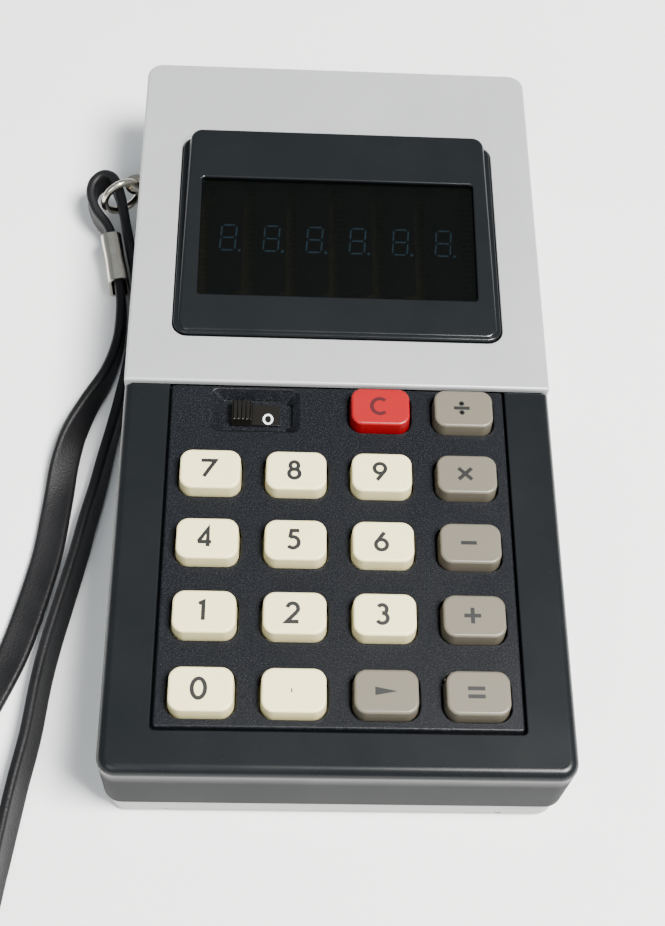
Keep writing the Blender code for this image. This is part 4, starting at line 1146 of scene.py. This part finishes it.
def legend(name, strokes, place, height, letter, half_width, finish):
    shape = bmesh.new()
    for layer, stroke in enumerate(strokes):
        points = [point * letter for point in stroke_points(stroke)]
        ribbon(shape, points, half_width, place, height + layer * LEGEND_LAYER)
    bmesh.ops.recalc_face_normals(shape, faces=shape.faces)
    return piece_from(name, shape, finish)


for name, strokes in LEGENDS.items():
    finish, slot = (red_ink, "red_key") if name == "key_clear" else (legend_ink, "black_plastic")
    letter = LEGEND_HEIGHT * (SMALL_LETTER if name in TAUPE_KEYS else 1)
    x, y = KEY_PLACES[name]
    if name == "key_recall":
        shape = bmesh.new()
        arrow_base = KEY_TOP - LEGEND_DEPTH
        shape.faces.new([shape.verts.new((x + a * MM, y + b * MM, arrow_base)) for a, b in ARROW])
        thicken(shape, LEGEND_DEPTH + LEGEND_RISE)
        mark = piece_from("legend_recall", shape, finish)
    else:
        middle = (x - LEGEND_SHIFT, y)
        mark = legend(f"legend_{name[4:]}", strokes, middle, KEY_TOP, letter, LEGEND_STROKE, finish)
    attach(mark, name)

# Power switch: a ribbed knob on a thin plate that is marked with a white nought. The plate slides
# under the well's right wall, and a stem reaches down to the contact block.
KNOB_GROOVES = 5
GROOVE_PITCH = 0.78 * MM
knob_plastic = moulded("knob plastic", (0.008, 0.007, 0.006), 0.3, 0.2, 0.01, 0.3)
slider_y = SWITCH_PLACE[1] - 0.15 * MM
slider_low = WELL_FLOOR + 0.25 * MM
slider = block(
    "switch_slider", ((KNOB_X - MM + SLIDER_END) / 2, slider_y),
    ((SLIDER_END - KNOB_X + MM) / 2, 2.15 * MM), 0.2 * MM,
    [(0, slider_low), (0, SLIDER_PLATE_TOP - 0.08 * MM), (0.08 * MM, SLIDER_PLATE_TOP)],
    knob_plastic, steps=3,
)
knob_edge = edge_round(PANEL_TOP + 0.1 * MM, 0.25 * MM)
knob_levels = [(0, slider_low)] + [(0.22 * MM + inset, z) for inset, z in knob_edge]
knob_place = (KNOB_X, SWITCH_PLACE[1])
knob = block("knob", knob_place, (2.1 * MM, 2.3 * MM), 0.35 * MM, knob_levels, knob_plastic)
stem = block(
    "stem", knob_place, (MM, 0.8 * MM), 0.1 * MM, [(0, 19 * MM), (0, WELL_FLOOR + 0.5 * MM)],
    knob_plastic, steps=2,
)
join(slider, knob, stem)
groove_levels = [(0.1 * MM, PANEL_TOP - 0.35 * MM), (-0.03 * MM, CUTTER_TOP)]
for number in range(KNOB_GROOVES):
    groove_place = (KNOB_X + (number - (KNOB_GROOVES - 1) / 2) * GROOVE_PITCH, SWITCH_PLACE[1])
    cut(slider, block(
        "knob_groove", groove_place, (0.16 * MM, 4 * MM), 0.02 * MM, groove_levels, knob_plastic, steps=1
    ))
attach(slider, "power_switch")
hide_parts("power_switch_slider")
nought_ink = ink("white ink", (0.66, 0.68, 0.7), (0.86, 0.88, 0.9))
nought = legend(
    "switch_nought", [(0, 0, 0.34, 0.42, 0, 360)], (-13.0 * MM, -8.9 * MM), SLIDER_PLATE_TOP, 2.3 * MM,
    0.19 * MM, nought_ink,
)
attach(nought, "power_switch")

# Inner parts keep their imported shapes: brown paper boards with tinned tracks, the chip, the
# converter's coil and capacitors, the contact block, and the four wrapped cells in their tray.
board = Finish("paper board")
board_fibres = board.place.speckle(1.2, 4.0, 0.6, stretch=(0.3, 2, 1))
track_sockets = {"Vector": board.place, "Scale": 190.0, "Mortar Size": 0.035}
tracks = board.place.node("TexBrick", {}, track_sockets, "Fac")
board.set("Base Color", (0.5 * board_fibres + 0.5 * tracks).mix((0.24, 0.13, 0.045), (0.6, 0.5, 0.3)))
board.set("Roughness", 0.55 - 0.25 * tracks)
board.set("Metallic", 0.6 * tracks)
board.bump(tracks, 0.035, 0.8)
for node in ("main_board", "display_board", "keyboard_board"):
    paint(node, board)
dome_sheet = Finish("contact sheet", Base_Color=(0.5, 0.5, 0.48), Metallic=0.9)
dome_sheet.set("Roughness", 0.25 + 0.25 * dome_sheet.place.speckle(2.5, 3.0, 0.6))
for node in ("contact_sheet", "battery_contact_near", "battery_contact_far", "slide_switch"):
    paint(node, dome_sheet)
chip_body = moulded("chip body", (0.03, 0.03, 0.032), 0.5, 0.15, 0.01, 0.3)
tray_plastic = moulded("tray plastic", (0.03, 0.03, 0.03), 0.45, 0.4, 0.02, 0.3)
paint("calculator_chip", chip_body)
paint("battery_tray", tray_plastic)
winding = Finish("winding", Roughness=0.4)
turn_sockets = {"Vector": winding.place, "Scale": 900.0}
wire_turns = winding.place.node("TexWave", {"bands_direction": "Z"}, turn_sockets, "Fac")
winding.set("Base Color", wire_turns.mix((0.3, 0.16, 0.04), (0.62, 0.42, 0.12)))
winding.bump(wire_turns, 0.1, 0.8)
paint("converter_coil", winding)
sleeve = Finish("capacitor sleeve", Roughness=0.3)
sleeve_shrink = sleeve.place.speckle(1.6, 3.0, 0.6)
sleeve.set("Base Color", sleeve_shrink.mix((0.04, 0.09, 0.3), (0.07, 0.15, 0.42)))
sleeve.bump(sleeve_shrink, 0.05, 0.5)
paint("capacitor_1", sleeve)
paint("capacitor_2", sleeve)
cell_wrap = Finish("cell wrap", Metallic=0.4)
cell_along = cell_wrap.place.node("SeparateXYZ", {}, {0: cell_wrap.place}, "Y")
band_sockets = {"Value": cell_along, "From Min": -26 * MM, "From Max": -24 * MM}
cell_band = cell_along.node("MapRange", {}, band_sockets)
cell_scuffs = cell_wrap.place.speckle(3, 4.0, 0.65)
cell_wrap.set("Base Color", cell_band.mix((0.05, 0.1, 0.36), (0.55, 0.56, 0.58)))
cell_wrap.set("Roughness", 0.22 + 0.25 * cell_scuffs)
for number in range(1, 5):
    paint(f"battery_{number}", cell_wrap)
